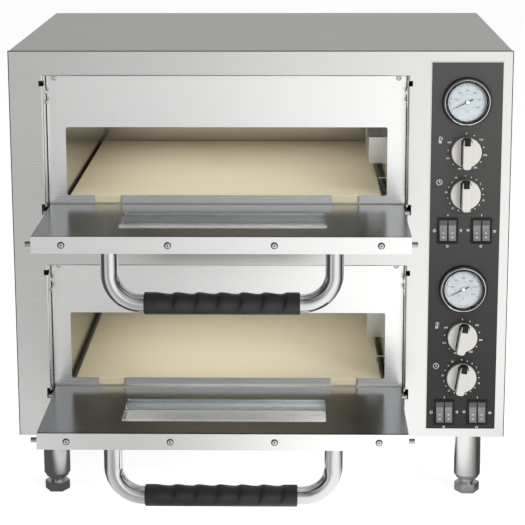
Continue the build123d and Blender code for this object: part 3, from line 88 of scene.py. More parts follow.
# ---------------------------------------------------------------- node groups
class NodeKit:
    """Small helper that adds and joins shader nodes in one tree."""

    def __init__(self, tree: bpy.types.NodeTree) -> None:
        """Keeps the tree.

        Args:
            tree: The node tree to build in.
        """
        self.tree = tree

    def node(self, kind: str, **values: object) -> bpy.types.Node:
        """Adds a node.

        Args:
            kind: Blender's identifier of the node.
            values: Node properties, or default values of inputs when the name has no such property.

        Returns:
            The new node.
        """
        made = self.tree.nodes.new(kind)
        for name, value in values.items():
            if hasattr(made, name):
                setattr(made, name, value)
            else:
                made.inputs[name.replace("_", " ")].default_value = value
        return made

    def join(self, source: bpy.types.NodeSocket, target: bpy.types.NodeSocket) -> None:
        """Links one output to one input."""
        self.tree.links.new(source, target)

    def math(self, operation: str, first: object, second: object = 0.0) -> bpy.types.NodeSocket:
        """Adds a Math node.

        Args:
            operation: Blender's name of the operation.
            first: A socket or a number.
            second: A socket or a number.

        Returns:
            The result's socket.
        """
        made = self.node("ShaderNodeMath", operation=operation)
        for socket, value in zip(made.inputs, (first, second)):
            if isinstance(value, bpy.types.NodeSocket):
                self.join(value, socket)
            else:
                socket.default_value = value
        return made.outputs[0]

    def spread(self, factor: bpy.types.NodeSocket, low: object, high: object) -> bpy.types.NodeSocket:
        """Maps a factor of 0 to 1 on a range.

        Args:
            factor: The socket with the factor.
            low: A socket or a number for factor 0.
            high: A socket or a number for factor 1.

        Returns:
            The result's socket.
        """
        made = self.node("ShaderNodeMapRange")
        self.join(factor, made.inputs["Value"])
        for name, value in (("To Min", low), ("To Max", high)):
            if isinstance(value, bpy.types.NodeSocket):
                self.join(value, made.inputs[name])
            else:
                made.inputs[name].default_value = value
        return made.outputs["Result"]

    def tint(self, factor: bpy.types.NodeSocket, dark: object, light: object) -> bpy.types.NodeSocket:
        """Mixes two colours by a factor.

        Args:
            factor: The socket with the factor.
            dark: A socket or an RGBA colour for factor 0.
            light: A socket or an RGBA colour for factor 1.

        Returns:
            The mixed colour's socket.
        """
        made = self.node("ShaderNodeMix", data_type="RGBA")
        self.join(factor, made.inputs[0])
        for socket, value in ((made.inputs[6], dark), (made.inputs[7], light)):
            if isinstance(value, bpy.types.NodeSocket):
                self.join(value, socket)
            else:
                socket.default_value = value
        return made.outputs[2]


class EffectLibrary:
    """Node groups that several finishes share, each built once."""

    def __init__(self) -> None:
        """Builds the groups."""
        self.brushed = self._brushed()
        self.pebble = self._pebble()
        self.edge_line = self._edge_line()
        self.cards = self._cards()

    @staticmethod
    def _group(name: str, inputs: tuple, outputs: tuple) -> tuple:
        """Makes an empty group with named sockets.

        Args:
            name: Name of the group.
            inputs: Pairs of socket name and socket type.
            outputs: Pairs of socket name and socket type.

        Returns:
            The tree, its kit, its input node and its output node.
        """
        tree = bpy.data.node_groups.new(name, "ShaderNodeTree")
        for side, sockets in (("INPUT", inputs), ("OUTPUT", outputs)):
            for label, kind in sockets:
                tree.interface.new_socket(name=label, in_out=side, socket_type=kind)
        kit = NodeKit(tree)
        return tree, kit, kit.node("NodeGroupInput"), kit.node("NodeGroupOutput")

    def _brushed(self) -> bpy.types.NodeTree:
        """Brushed metal: noise drawn out along the grain, under slow cloudy handling marks.

        Returns:
            A group that gives Color, Roughness and Normal.
        """
        tree, kit, given, out = self._group(
            "Brushed metal",
            (
                ("Frequencies", "NodeSocketVector"),
                ("Tint", "NodeSocketColor"),
                ("Shade", "NodeSocketFloat"),
                ("Roughness", "NodeSocketFloat"),
                ("Depth", "NodeSocketFloat"),
            ),
            (("Color", "NodeSocketColor"), ("Roughness", "NodeSocketFloat"),
             ("Normal", "NodeSocketVector")),
        )
        place = kit.node("ShaderNodeTexCoord").outputs["Object"]
        drawn = kit.node("ShaderNodeVectorMath", operation="MULTIPLY")
        kit.join(place, drawn.inputs[0])
        kit.join(given.outputs["Frequencies"], drawn.inputs[1])
        grain = kit.node("ShaderNodeTexNoise", Scale=1.0, Detail=3.0, Roughness=0.65)
        kit.join(drawn.outputs[0], grain.inputs["Vector"])
        clouds = kit.node("ShaderNodeTexNoise", Scale=7.0, Detail=2.0)
        kit.join(place, clouds.inputs["Vector"])
        blend = kit.math("ADD", kit.math("MULTIPLY", grain.outputs[0], 0.7),
                         kit.math("MULTIPLY", clouds.outputs[0], 0.3))
        darker = kit.node("ShaderNodeVectorMath", operation="SCALE")
        kit.join(given.outputs["Tint"], darker.inputs[0])
        kit.join(given.outputs["Shade"], darker.inputs["Scale"])
        kit.join(kit.tint(blend, darker.outputs[0], given.outputs["Tint"]), out.inputs["Color"])
        rough = kit.math("MULTIPLY", given.outputs["Roughness"], kit.spread(blend, 0.75, 1.25))
        kit.join(rough, out.inputs["Roughness"])
        bump = kit.node("ShaderNodeBump", Distance=0.00002)
        kit.join(given.outputs["Depth"], bump.inputs["Strength"])
        kit.join(grain.outputs[0], bump.inputs["Height"])
        kit.join(bump.outputs[0], out.inputs["Normal"])
        return tree

    def _pebble(self) -> bpy.types.NodeTree:
        """Moulded grain: fine round pebbles over a slow change of gloss.

        Returns:
            A group that gives Color, Roughness and Normal.
        """
        tree, kit, given, out = self._group(
            "Moulded grain",
            (
                ("Frequency", "NodeSocketFloat"),
                ("Tint", "NodeSocketColor"),
                ("Shade", "NodeSocketFloat"),
                ("Roughness", "NodeSocketFloat"),
                ("Depth", "NodeSocketFloat"),
            ),
            (("Color", "NodeSocketColor"), ("Roughness", "NodeSocketFloat"),
             ("Normal", "NodeSocketVector")),
        )
        place = kit.node("ShaderNodeTexCoord").outputs["Object"]
        pebbles = kit.node("ShaderNodeTexVoronoi", feature="SMOOTH_F1")
        clouds = kit.node("ShaderNodeTexNoise", Scale=60.0, Detail=2.0)
        kit.join(place, pebbles.inputs["Vector"])
        kit.join(place, clouds.inputs["Vector"])
        kit.join(given.outputs["Frequency"], pebbles.inputs["Scale"])
        darker = kit.node("ShaderNodeVectorMath", operation="SCALE")
        kit.join(given.outputs["Tint"], darker.inputs[0])
        kit.join(given.outputs["Shade"], darker.inputs["Scale"])
        kit.join(kit.tint(clouds.outputs[0], darker.outputs[0], given.outputs["Tint"]), out.inputs["Color"])
        rough = kit.math("MULTIPLY", given.outputs["Roughness"], kit.spread(clouds.outputs[0], 0.8, 1.2))
        kit.join(rough, out.inputs["Roughness"])
        bump = kit.node("ShaderNodeBump", Distance=0.0001)
        kit.join(given.outputs["Depth"], bump.inputs["Strength"])
        kit.join(pebbles.outputs["Distance"], bump.inputs["Height"])
        kit.join(bump.outputs[0], out.inputs["Normal"])
        return tree

    def _edge_line(self) -> bpy.types.NodeTree:
        """Mask of everything outside a box, for the dark joint lines along folded sheet edges.

        Returns:
            A group that gives Mask: 1 outside the box from Low to High, 0 inside.
        """
        tree, kit, given, out = self._group(
            "Edge line", (("Low", "NodeSocketVector"), ("High", "NodeSocketVector")),
            (("Mask", "NodeSocketFloat"),))
        place = kit.node("ShaderNodeTexCoord").outputs["Object"]
        below = kit.node("ShaderNodeVectorMath", operation="SUBTRACT")
        above = kit.node("ShaderNodeVectorMath", operation="SUBTRACT")
        beyond = kit.node("ShaderNodeVectorMath", operation="MAXIMUM")
        kit.join(given.outputs["Low"], below.inputs[0])
        kit.join(place, below.inputs[1])
        kit.join(place, above.inputs[0])
        kit.join(given.outputs["High"], above.inputs[1])
        kit.join(below.outputs[0], beyond.inputs[0])
        kit.join(above.outputs[0], beyond.inputs[1])
        parts = kit.node("ShaderNodeSeparateXYZ")
        kit.join(beyond.outputs[0], parts.inputs[0])
        across = kit.math("MAXIMUM", parts.outputs[0], parts.outputs[1])
        most = kit.math("MAXIMUM", across, parts.outputs[2])
        kit.join(kit.math("GREATER_THAN", most, 0.0), out.inputs["Mask"])
        return tree

    def _cards(self) -> bpy.types.NodeTree:
        """Bright and dark studio cards round the object, by compass direction and height.

        The direction's azimuth, 0 straight behind, 0.25 left, 0.5 in front and 0.75 right, looks up the
        cards' brightness; it falls off towards the zenith.

        Returns:
            A group that gives Level from a direction.
        """
        tree, kit, given, out = self._group(
            "Studio cards", (("Direction", "NodeSocketVector"), ("Height", "NodeSocketFloat")),
            (("Level", "NodeSocketFloat"),))
        parts = kit.node("ShaderNodeSeparateXYZ")
        kit.join(given.outputs["Direction"], parts.inputs[0])
        azimuth = kit.math("ARCTAN2", parts.outputs["X"], kit.math("MULTIPLY", parts.outputs["Y"], -1.0))
        turn = kit.math("ADD", kit.math("DIVIDE", azimuth, 2 * np.pi), 0.5)
        ramp = kit.node("ShaderNodeValToRGB")
        stops = ((0.0, 0.80), (0.14, 0.65), (0.19, 0.85), (0.24, 0.12), (0.35, 0.10), (0.385, 0.95),
                 (0.425, 0.70), (0.455, 0.52), (0.485, 0.74), (0.51, 1.15), (0.545, 1.34), (0.60, 1.30),
                 (0.66, 0.50), (0.70, 0.07), (0.76, 0.10), (0.80, 1.1), (0.86, 0.7), (1.0, 0.80))
        while len(ramp.color_ramp.elements) < len(stops):
            ramp.color_ramp.elements.new(0.5)
        for element, (position, level) in zip(ramp.color_ramp.elements, stops):
            element.position = position
            element.color = (level / 1.4, level / 1.4, level / 1.4, 1.0)
        kit.join(turn, ramp.inputs[0])
        fall = kit.node("ShaderNodeMapRange", interpolation_type="SMOOTHSTEP")
        kit.join(given.outputs["Height"], fall.inputs["Value"])
        for name, value in (("From Min", 0.0), ("From Max", 0.3), ("To Min", 1.4), ("To Max", 0.72)):
            fall.inputs[name].default_value = value
        zenith = kit.node("ShaderNodeMapRange", interpolation_type="SMOOTHSTEP")
        kit.join(given.outputs["Height"], zenith.inputs["Value"])
        for name, value in (("From Min", 0.4), ("From Max", 0.95), ("To Min", 1.0), ("To Max", 0.4)):
            zenith.inputs[name].default_value = value
        level = kit.math("MULTIPLY", kit.math("MULTIPLY", ramp.outputs[0], fall.outputs["Result"]),
                         zenith.outputs["Result"])
        kit.join(level, out.inputs["Level"])
        return tree


# ---------------------------------------------------------------- finishes
@dataclass(frozen=True)
class Finish:
    """One named finish. Its subclasses say what it is made of."""

    name: str

    def _start(self) -> tuple[bpy.types.Material, NodeKit, bpy.types.Node, bpy.types.Node]:
        """Makes the material with an empty Principled shader.

        Returns:
            The material, its kit, the Principled node and the output node.
        """
        material = bpy.data.materials.new(self.name)
        material.use_nodes = True
        material.node_tree.nodes.clear()
        kit = NodeKit(material.node_tree)
        shader = kit.node("ShaderNodeBsdfPrincipled")
        output = kit.node("ShaderNodeOutputMaterial")
        kit.join(shader.outputs[0], output.inputs["Surface"])
        return material, kit, shader, output

    def _dress(self, kit: NodeKit, shader: bpy.types.Node, tree: bpy.types.NodeTree,
               **values: object) -> None:
        """Places an effect group and feeds its three outputs to the shader.

        Args:
            kit: Kit of the material's tree.
            shader: The Principled node.
            tree: The effect's node group.
            values: Values of the group's inputs.
        """
        group = kit.node("ShaderNodeGroup", node_tree=tree)
        for name, value in values.items():
            group.inputs[name].default_value = value
        kit.join(group.outputs["Color"], shader.inputs["Base Color"])
        kit.join(group.outputs["Roughness"], shader.inputs["Roughness"])
        kit.join(group.outputs["Normal"], shader.inputs["Normal"])


@dataclass(frozen=True)
class Metal(Finish):
    """Bare or plated metal with a drawn grain."""

    tint: tuple
    roughness: float
    grain: Grain = Grain.ACROSS
    shade: float = 0.85
    depth: float = 0.3
    joint_low: tuple = ()
    joint_high: tuple = ()

    def build(self, effects: EffectLibrary) -> bpy.types.Material:
        """Builds the finish.

        Args:
            effects: The shared node groups.

        Returns:
            The material. With joint corners given, everything outside their box is a dark joint.
        """
        material, kit, shader, _ = self._start()
        shader.inputs["Metallic"].default_value = 1.0
        self._dress(kit, shader, effects.brushed, Frequencies=self.grain.value, Tint=(*self.tint, 1.0),
                    Shade=self.shade, Roughness=self.roughness, Depth=self.depth)
        if self.joint_low:
            line = kit.node("ShaderNodeGroup", node_tree=effects.edge_line)
            line.inputs["Low"].default_value = self.joint_low
            line.inputs["High"].default_value = self.joint_high
            steel = shader.inputs["Base Color"].links[0].from_socket
            kit.join(kit.tint(line.outputs["Mask"], steel, (0.035, 0.034, 0.033, 1.0)),
                     shader.inputs["Base Color"])
        return material


@dataclass(frozen=True)
class Moulded(Finish):
    """Plastic, rubber or paint with a moulded grain."""

    tint: tuple
    roughness: float
    frequency: float = 1800.0
    shade: float = 0.9
    depth: float = 0.25
    coat: float = 0.0
    shine: float = 0.5

    def build(self, effects: EffectLibrary) -> bpy.types.Material:
        """Builds the finish.

        Args:
            effects: The shared node groups.

        Returns:
            The material.
        """
        material, kit, shader, _ = self._start()
        shader.inputs["Coat Weight"].default_value = self.coat
        shader.inputs["Coat Roughness"].default_value = 0.12
        shader.inputs["Specular IOR Level"].default_value = self.shine
        self._dress(kit, shader, effects.pebble, Frequency=self.frequency, Tint=(*self.tint, 1.0),
                    Shade=self.shade, Roughness=self.roughness, Depth=self.depth)
        return material


@dataclass(frozen=True)
class PaintedSheet(Finish):
    """Satin paint over brushed sheet, which keeps a trace of the grain. Its colour darkens towards the bottom as
    painted shade, for the panel's weaker reflection lower down.
    """

    tint: tuple
    roughness: float
    low_z: float
    high_z: float
    painted_shade_scale: float = 0.3

    def build(self, effects: EffectLibrary) -> bpy.types.Material:
        """Builds the finish.

        Args:
            effects: The shared node groups.

        Returns:
            The material.
        """
        material, kit, shader, _ = self._start()
        shader.inputs["Metallic"].default_value = 0.35
        self._dress(kit, shader, effects.brushed, Frequencies=Grain.UPRIGHT.value, Tint=(*self.tint, 1.0),
                    Shade=0.86, Roughness=self.roughness, Depth=0.2)
        # Painted shade: from high_z down to low_z the paint's colour is scaled down, darker towards the panel's
        # bottom.
        parts = kit.node("ShaderNodeSeparateXYZ")
        kit.join(kit.node("ShaderNodeTexCoord").outputs["Object"], parts.inputs[0])
        rise = kit.node("ShaderNodeMapRange", interpolation_type="SMOOTHSTEP")
        rise.inputs["From Min"].default_value = self.low_z
        rise.inputs["From Max"].default_value = self.high_z
        kit.join(parts.outputs["Z"], rise.inputs["Value"])
        paint = shader.inputs["Base Color"].links[0].from_socket
        darker = kit.node("ShaderNodeVectorMath", operation="SCALE")
        kit.join(paint, darker.inputs[0])
        darker.inputs["Scale"].default_value = self.painted_shade_scale
        kit.join(kit.tint(rise.outputs["Result"], darker.outputs[0], paint), shader.inputs["Base Color"])
        return material


@dataclass(frozen=True)
class Glass(Finish):
    """Clear or frosted glass. Light reaches what lies behind it without being bent."""

    tint: tuple
    roughness: float

    def build(self, effects: EffectLibrary) -> bpy.types.Material:
        """Builds the finish.

        Args:
            effects: The shared node groups.

        Returns:
            The material.
        """
        material, kit, shader, output = self._start()
        shader.inputs["Transmission Weight"].default_value = 1.0
        shader.inputs["IOR"].default_value = 1.3
        group = kit.node("ShaderNodeGroup", node_tree=effects.pebble)
        for name, value in (("Frequency", 300.0), ("Tint", (*self.tint, 1.0)), ("Shade", 0.97),
                            ("Roughness", self.roughness), ("Depth", 0.0)):
            group.inputs[name].default_value = value
        kit.join(group.outputs["Color"], shader.inputs["Base Color"])
        kit.join(group.outputs["Roughness"], shader.inputs["Roughness"])
        clear = kit.node("ShaderNodeBsdfTransparent", Color=(*self.tint, 1.0))
        mix = kit.node("ShaderNodeMixShader")
        kit.join(kit.node("ShaderNodeLightPath").outputs["Is Shadow Ray"], mix.inputs[0])
        kit.join(shader.outputs[0], mix.inputs[1])
        kit.join(clear.outputs[0], mix.inputs[2])
        kit.join(mix.outputs[0], output.inputs["Surface"])
        return material


@dataclass(frozen=True)
class FiredStone(Finish):
    """Cordierite baking stone: pale, matt, finely speckled, a little browner towards the back."""

    pale: tuple
    baked: tuple
    front_y: float
    back_y: float

    def build(self, effects: EffectLibrary) -> bpy.types.Material:
        """Builds the finish.

        Args:
            effects: The shared node groups, which this finish doesn't need.

        Returns:
            The material.
        """
        material, kit, shader, _ = self._start()
        place = kit.node("ShaderNodeTexCoord").outputs["Object"]
        parts = kit.node("ShaderNodeSeparateXYZ")
        kit.join(place, parts.inputs[0])
        clouds = kit.node("ShaderNodeTexNoise", Scale=9.0, Detail=4.0)
        specks = kit.node("ShaderNodeTexNoise", Scale=900.0, Detail=2.0)
        kit.join(place, clouds.inputs["Vector"])
        kit.join(place, specks.inputs["Vector"])
        deep = kit.node("ShaderNodeMapRange", interpolation_type="SMOOTHSTEP")
        kit.join(parts.outputs["Y"], deep.inputs["Value"])
        deep.inputs["From Min"].default_value = self.front_y
        deep.inputs["From Max"].default_value = self.back_y
        baked = kit.math("MULTIPLY", deep.outputs["Result"], kit.spread(clouds.outputs[0], 0.7, 1.3))
        colour = kit.tint(baked, (*self.pale, 1.0), (*self.baked, 1.0))
        speckled = kit.tint(kit.spread(specks.outputs[0], 0.0, 0.35), colour, (0.42, 0.36, 0.24, 1.0))
        kit.join(speckled, shader.inputs["Base Color"])
        kit.join(kit.spread(clouds.outputs[0], 0.8, 0.95), shader.inputs["Roughness"])
        bump = kit.node("ShaderNodeBump", Strength=0.35, Distance=0.0003)
        kit.join(specks.outputs[0], bump.inputs["Height"])
        kit.join(bump.outputs[0], shader.inputs["Normal"])
        return material


# ---------------------------------------------------------------- surfaces
class Surface:
    """Points and faces worked out as whole arrays, ready to become a mesh."""

    def __init__(self, points: Array, faces: list) -> None:
        """Keeps the points and faces.

        Args:
            points: Vertex positions in metres, one row each.
            faces: Lists of vertex numbers, wound so that faces point outwards.
        """
        self.points = points
        self.faces = faces

    @staticmethod
    def joined(parts: list["Surface"]) -> "Surface":
        """Puts several surfaces into one.

        Args:
            parts: The surfaces.

        Returns:
            One surface with all their points and faces.
        """
        starts = np.cumsum([0] + [len(part.points) for part in parts[:-1]])
        faces = [[int(start) + n for n in face]
                 for start, part in zip(starts, parts) for face in part.faces]
        return Surface(np.concatenate([part.points for part in parts]), faces)

    @staticmethod
    def grid(points: Array, round_u: bool, round_v: bool, caps: bool = False) -> "Surface":
        """A grid of points as quads. A round direction joins its end to its start.

        Args:
            points: Positions, of shape (u, v, 3). With u x v turning outwards, faces point outwards.
            round_u: Whether the last row joins the first.
            round_v: Whether the last column joins the first.
            caps: Whether the first and last rows, which are round in v, are closed with a flat face.

        Returns:
            The surface.
        """
        rows, columns = points.shape[:2]
        number = np.arange(rows * columns).reshape(rows, columns)
        if round_u:
            number = np.concatenate([number, number[:1]], axis=0)
        if round_v:
            number = np.concatenate([number, number[:, :1]], axis=1)
        quads = np.stack([number[:-1, :-1], number[1:, :-1], number[1:, 1:], number[:-1, 1:]], axis=-1)
        faces = quads.reshape(-1, 4).tolist()
        if caps:
            faces += [number[0, :columns].tolist(), number[-1, :columns][::-1].tolist()]
        return Surface(points.reshape(-1, 3), faces)

    @staticmethod
    def turned(profile: list, steps: int) -> "Surface":
        """A solid of revolution about local Z.

        Each profile point (radius, height) is carried round the axis: x = radius cos a, y = radius sin a.
        The profile runs from the lower middle, out and up, to the upper middle; its ends are closed flat.

        Args:
            profile: Pairs of radius and height, both ends above zero radius.
            steps: Number of steps round the axis.

        Returns:
            The surface.
        """
        line = np.array(profile, float)
        angle = np.linspace(0, 2 * np.pi, steps, endpoint=False)
        radius, height = line[:, :1], line[:, 1:]
        points = np.stack(
            [radius * np.cos(angle), radius * np.sin(angle), height + 0 * angle], axis=-1)
        surface = Surface.grid(points, False, True, caps=True)
        return surface.flipped()

    def flipped(self) -> "Surface":
        """The same surface with its faces wound the other way."""
        return Surface(self.points, [face[::-1] for face in self.faces])

    def placed(self, right: tuple, up: tuple, origin: tuple) -> "Surface":
        """Puts a surface into the frame.

        Local X goes along right, local Y along up, and local Z along their cross product.

        Args:
            right: Direction of local X.
            up: Direction of local Y.
            origin: Place of the local origin, in metres.

        Returns:
            The placed surface.
        """
        axes = np.array([right, up, np.cross(right, up)], float)
        return Surface(self.points @ axes + np.array(origin, float), self.faces)


def rounded_box(width: float, height: float, low: float, high: float, corner: float,
                edge: float) -> Surface:
    """A slab with round corners and a rounded front edge, about local Z.

    Its outline is a circle of the corner radius pushed out into the four corners. Three rings of it
    make the side, the quarter-round edge and the front.

    Args:
        width: Size along X.
        height: Size along Y.
        low: Height of the back.
        high: Height of the front.
        corner: Corner radius.
        edge: Radius of the front edge.

    Returns:
        The surface.
    """
    angle = np.linspace(0, 2 * np.pi, 32, endpoint=False) + np.pi / 32
    push = np.stack([np.sign(np.cos(angle)) * (width / 2 - corner),
                     np.sign(np.sin(angle)) * (height / 2 - corner)])
    around = np.stack([np.cos(angle), np.sin(angle)])
    bend = np.linspace(0, np.pi / 2, 5)
    inset = np.concatenate([[0.0], edge * (1 - np.cos(bend))])
    rise = np.concatenate([[low], high - edge + edge * np.sin(bend)])
    plan = push[:, None, :] + around[:, None, :] * (corner - inset)[None, :, None]
    points = np.stack([plan[0], plan[1], rise[:, None] + 0 * plan[0]], axis=-1)
    return Surface.grid(points, False, True, caps=True).flipped()


def tube_ring(radius: float, thick: float, low: float, steps: int, sides: int = 8) -> Surface:
    """A round ring about local Z: a small circle of sides steps carried round a large one.

    Args:
        radius: Radius of the large circle.
        thick: Radius of the small circle.
        low: Height of the ring's middle.
        steps: Number of steps round the large circle.
        sides: Number of steps round the small circle.

    Returns:
        The surface.
    """
    u = np.linspace(0, 2 * np.pi, steps, endpoint=False)[:, None]
    v = np.linspace(0, 2 * np.pi, sides, endpoint=False)[None, :]
    reach = radius + thick * np.cos(v)
    points = np.stack([reach * np.cos(u), reach * np.sin(u), low + thick * np.sin(v) + 0 * u], axis=-1)
    return Surface.grid(points, True, True)


def stroke(route: list, width: float, low: float, high: float, closed: bool = False) -> Surface:
    """A flat printed line: a rectangle of the line's width carried along a route in the XY plane.

    At each point the line is pushed out sideways by half its width along the mitred normal.

    Args:
        route: Points (x, y) along the line.
        width: Width of the line.
        low: Height of its back.
        high: Height of its front.
        closed: Whether the route returns to its start.

    Returns:
        The surface.
    """
    line = np.array(route, float)
    if closed:
        ahead, behind = np.roll(line, -1, 0) - line, line - np.roll(line, 1, 0)
    else:
        run = np.diff(line, axis=0)
        ahead, behind = np.concatenate([run, run[-1:]]), np.concatenate([run[:1], run])
    ahead /= np.linalg.norm(ahead, axis=1, keepdims=True)
    behind /= np.linalg.norm(behind, axis=1, keepdims=True)
    side = np.stack([-(ahead + behind)[:, 1], (ahead + behind)[:, 0]], axis=1)
    side /= np.maximum((side * side).sum(1, keepdims=True) / 2, 0.5)
    left, right = line + side * width / 2, line - side * width / 2
    ring = np.stack([
        np.column_stack([right, np.full(len(line), low)]),
        np.column_stack([right, np.full(len(line), high)]),
        np.column_stack([left, np.full(len(line), high)]),
        np.column_stack([left, np.full(len(line), low)]),
    ], axis=1)
    return Surface.grid(ring, closed, True, caps=not closed).flipped()


def arc(x: float, y: float, radius: float, start: float, end: float, steps: int = 24) -> list:
    """Points along a circle's arc.

    Args:
        x: Centre's X.
        y: Centre's Y.
        radius: Radius.
        start: First angle in degrees.
        end: Last angle in degrees.
        steps: Number of points.

    Returns:
        The points as (x, y) pairs.
    """
    angle = np.radians(np.linspace(start, end, steps))
    return np.column_stack([x + radius * np.cos(angle), y + radius * np.sin(angle)]).tolist()


def dot(x: float, y: float, radius: float, low: float, high: float, steps: int = 16) -> Surface:
    """A flat round dot.

    Args:
        x: Centre's X.
        y: Centre's Y.
        radius: Radius.
        low: Height of its back.
        high: Height of its front.
        steps: Number of steps round it.

    Returns:
        The surface.
    """
    surface = Surface.turned([(radius, low), (radius, high)], steps)
    return Surface(surface.points + np.array([x, y, 0.0]), surface.faces)


def number(text: str, x: float, y: float, size: float, low: float, high: float) -> Surface:
    """A number as a flat extruded outline, centred on a point.

    Args:
        text: The digits.
        x: Centre's X.
        y: Centre's Y.
        size: Height of the letter body.
        low: Height of its back.
        high: Height of its front.

    Returns:
        The surface.
    """
    curve = bpy.data.curves.new("digits", "FONT")
    curve.body, curve.size, curve.align_x, curve.align_y = text, size, "CENTER", "CENTER"
    curve.resolution_u = 3
    curve.extrude = (high - low) / 2
    holder = bpy.data.objects.new("digits", curve)
    mesh = bpy.data.meshes.new_from_object(holder)
    points = np.zeros(len(mesh.vertices) * 3)
    mesh.vertices.foreach_get("co", points)
    faces = [list(polygon.vertices) for polygon in mesh.polygons]
    bpy.data.objects.remove(holder)
    bpy.data.curves.remove(curve)
    bpy.data.meshes.remove(mesh)
    return Surface(points.reshape(-1, 3) + np.array([x, y, (low + high) / 2]), faces)


def make_piece(name: str, surface: Surface, body: str, material: bpy.types.Material,
               smooth: float = 35.0, merge: bool = False) -> bpy.types.Object:
    """Makes a piece of a surface, dresses it and lets it ride on a body.

    Args:
        name: Name of the piece.
        surface: Its shape, in place.
        body: The CAD body that it rides on.
        material: Its finish.
        smooth: Faces that meet at less than this angle, in degrees, are shaded smooth.
        merge: Whether points that coincide are merged.

    Returns:
        The piece.
    """
    mesh = bpy.data.meshes.new(name)
    mesh.from_pydata(surface.points, [], surface.faces)
    if merge:
        work = bmesh.new()
        work.from_mesh(mesh)
        bmesh.ops.remove_doubles(work, verts=work.verts, dist=1e-7)
        bmesh.ops.recalc_face_normals(work, faces=work.faces)
        work.to_mesh(mesh)
        work.free()
    mesh.shade_smooth()
    mesh.set_sharp_from_angle(angle=np.radians(smooth))
    mesh.materials.append(material)
    piece = bpy.data.objects.new(name, mesh)
    bpy.context.scene.collection.objects.link(piece)
    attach(piece, body)
    return piece


FRONT_RIGHT, FRONT_UP = (1.0, 0.0, 0.0), (0.0, 0.0, 1.0)
JOINTS = {joint["name"]: joint for joint in frame["joints"]}


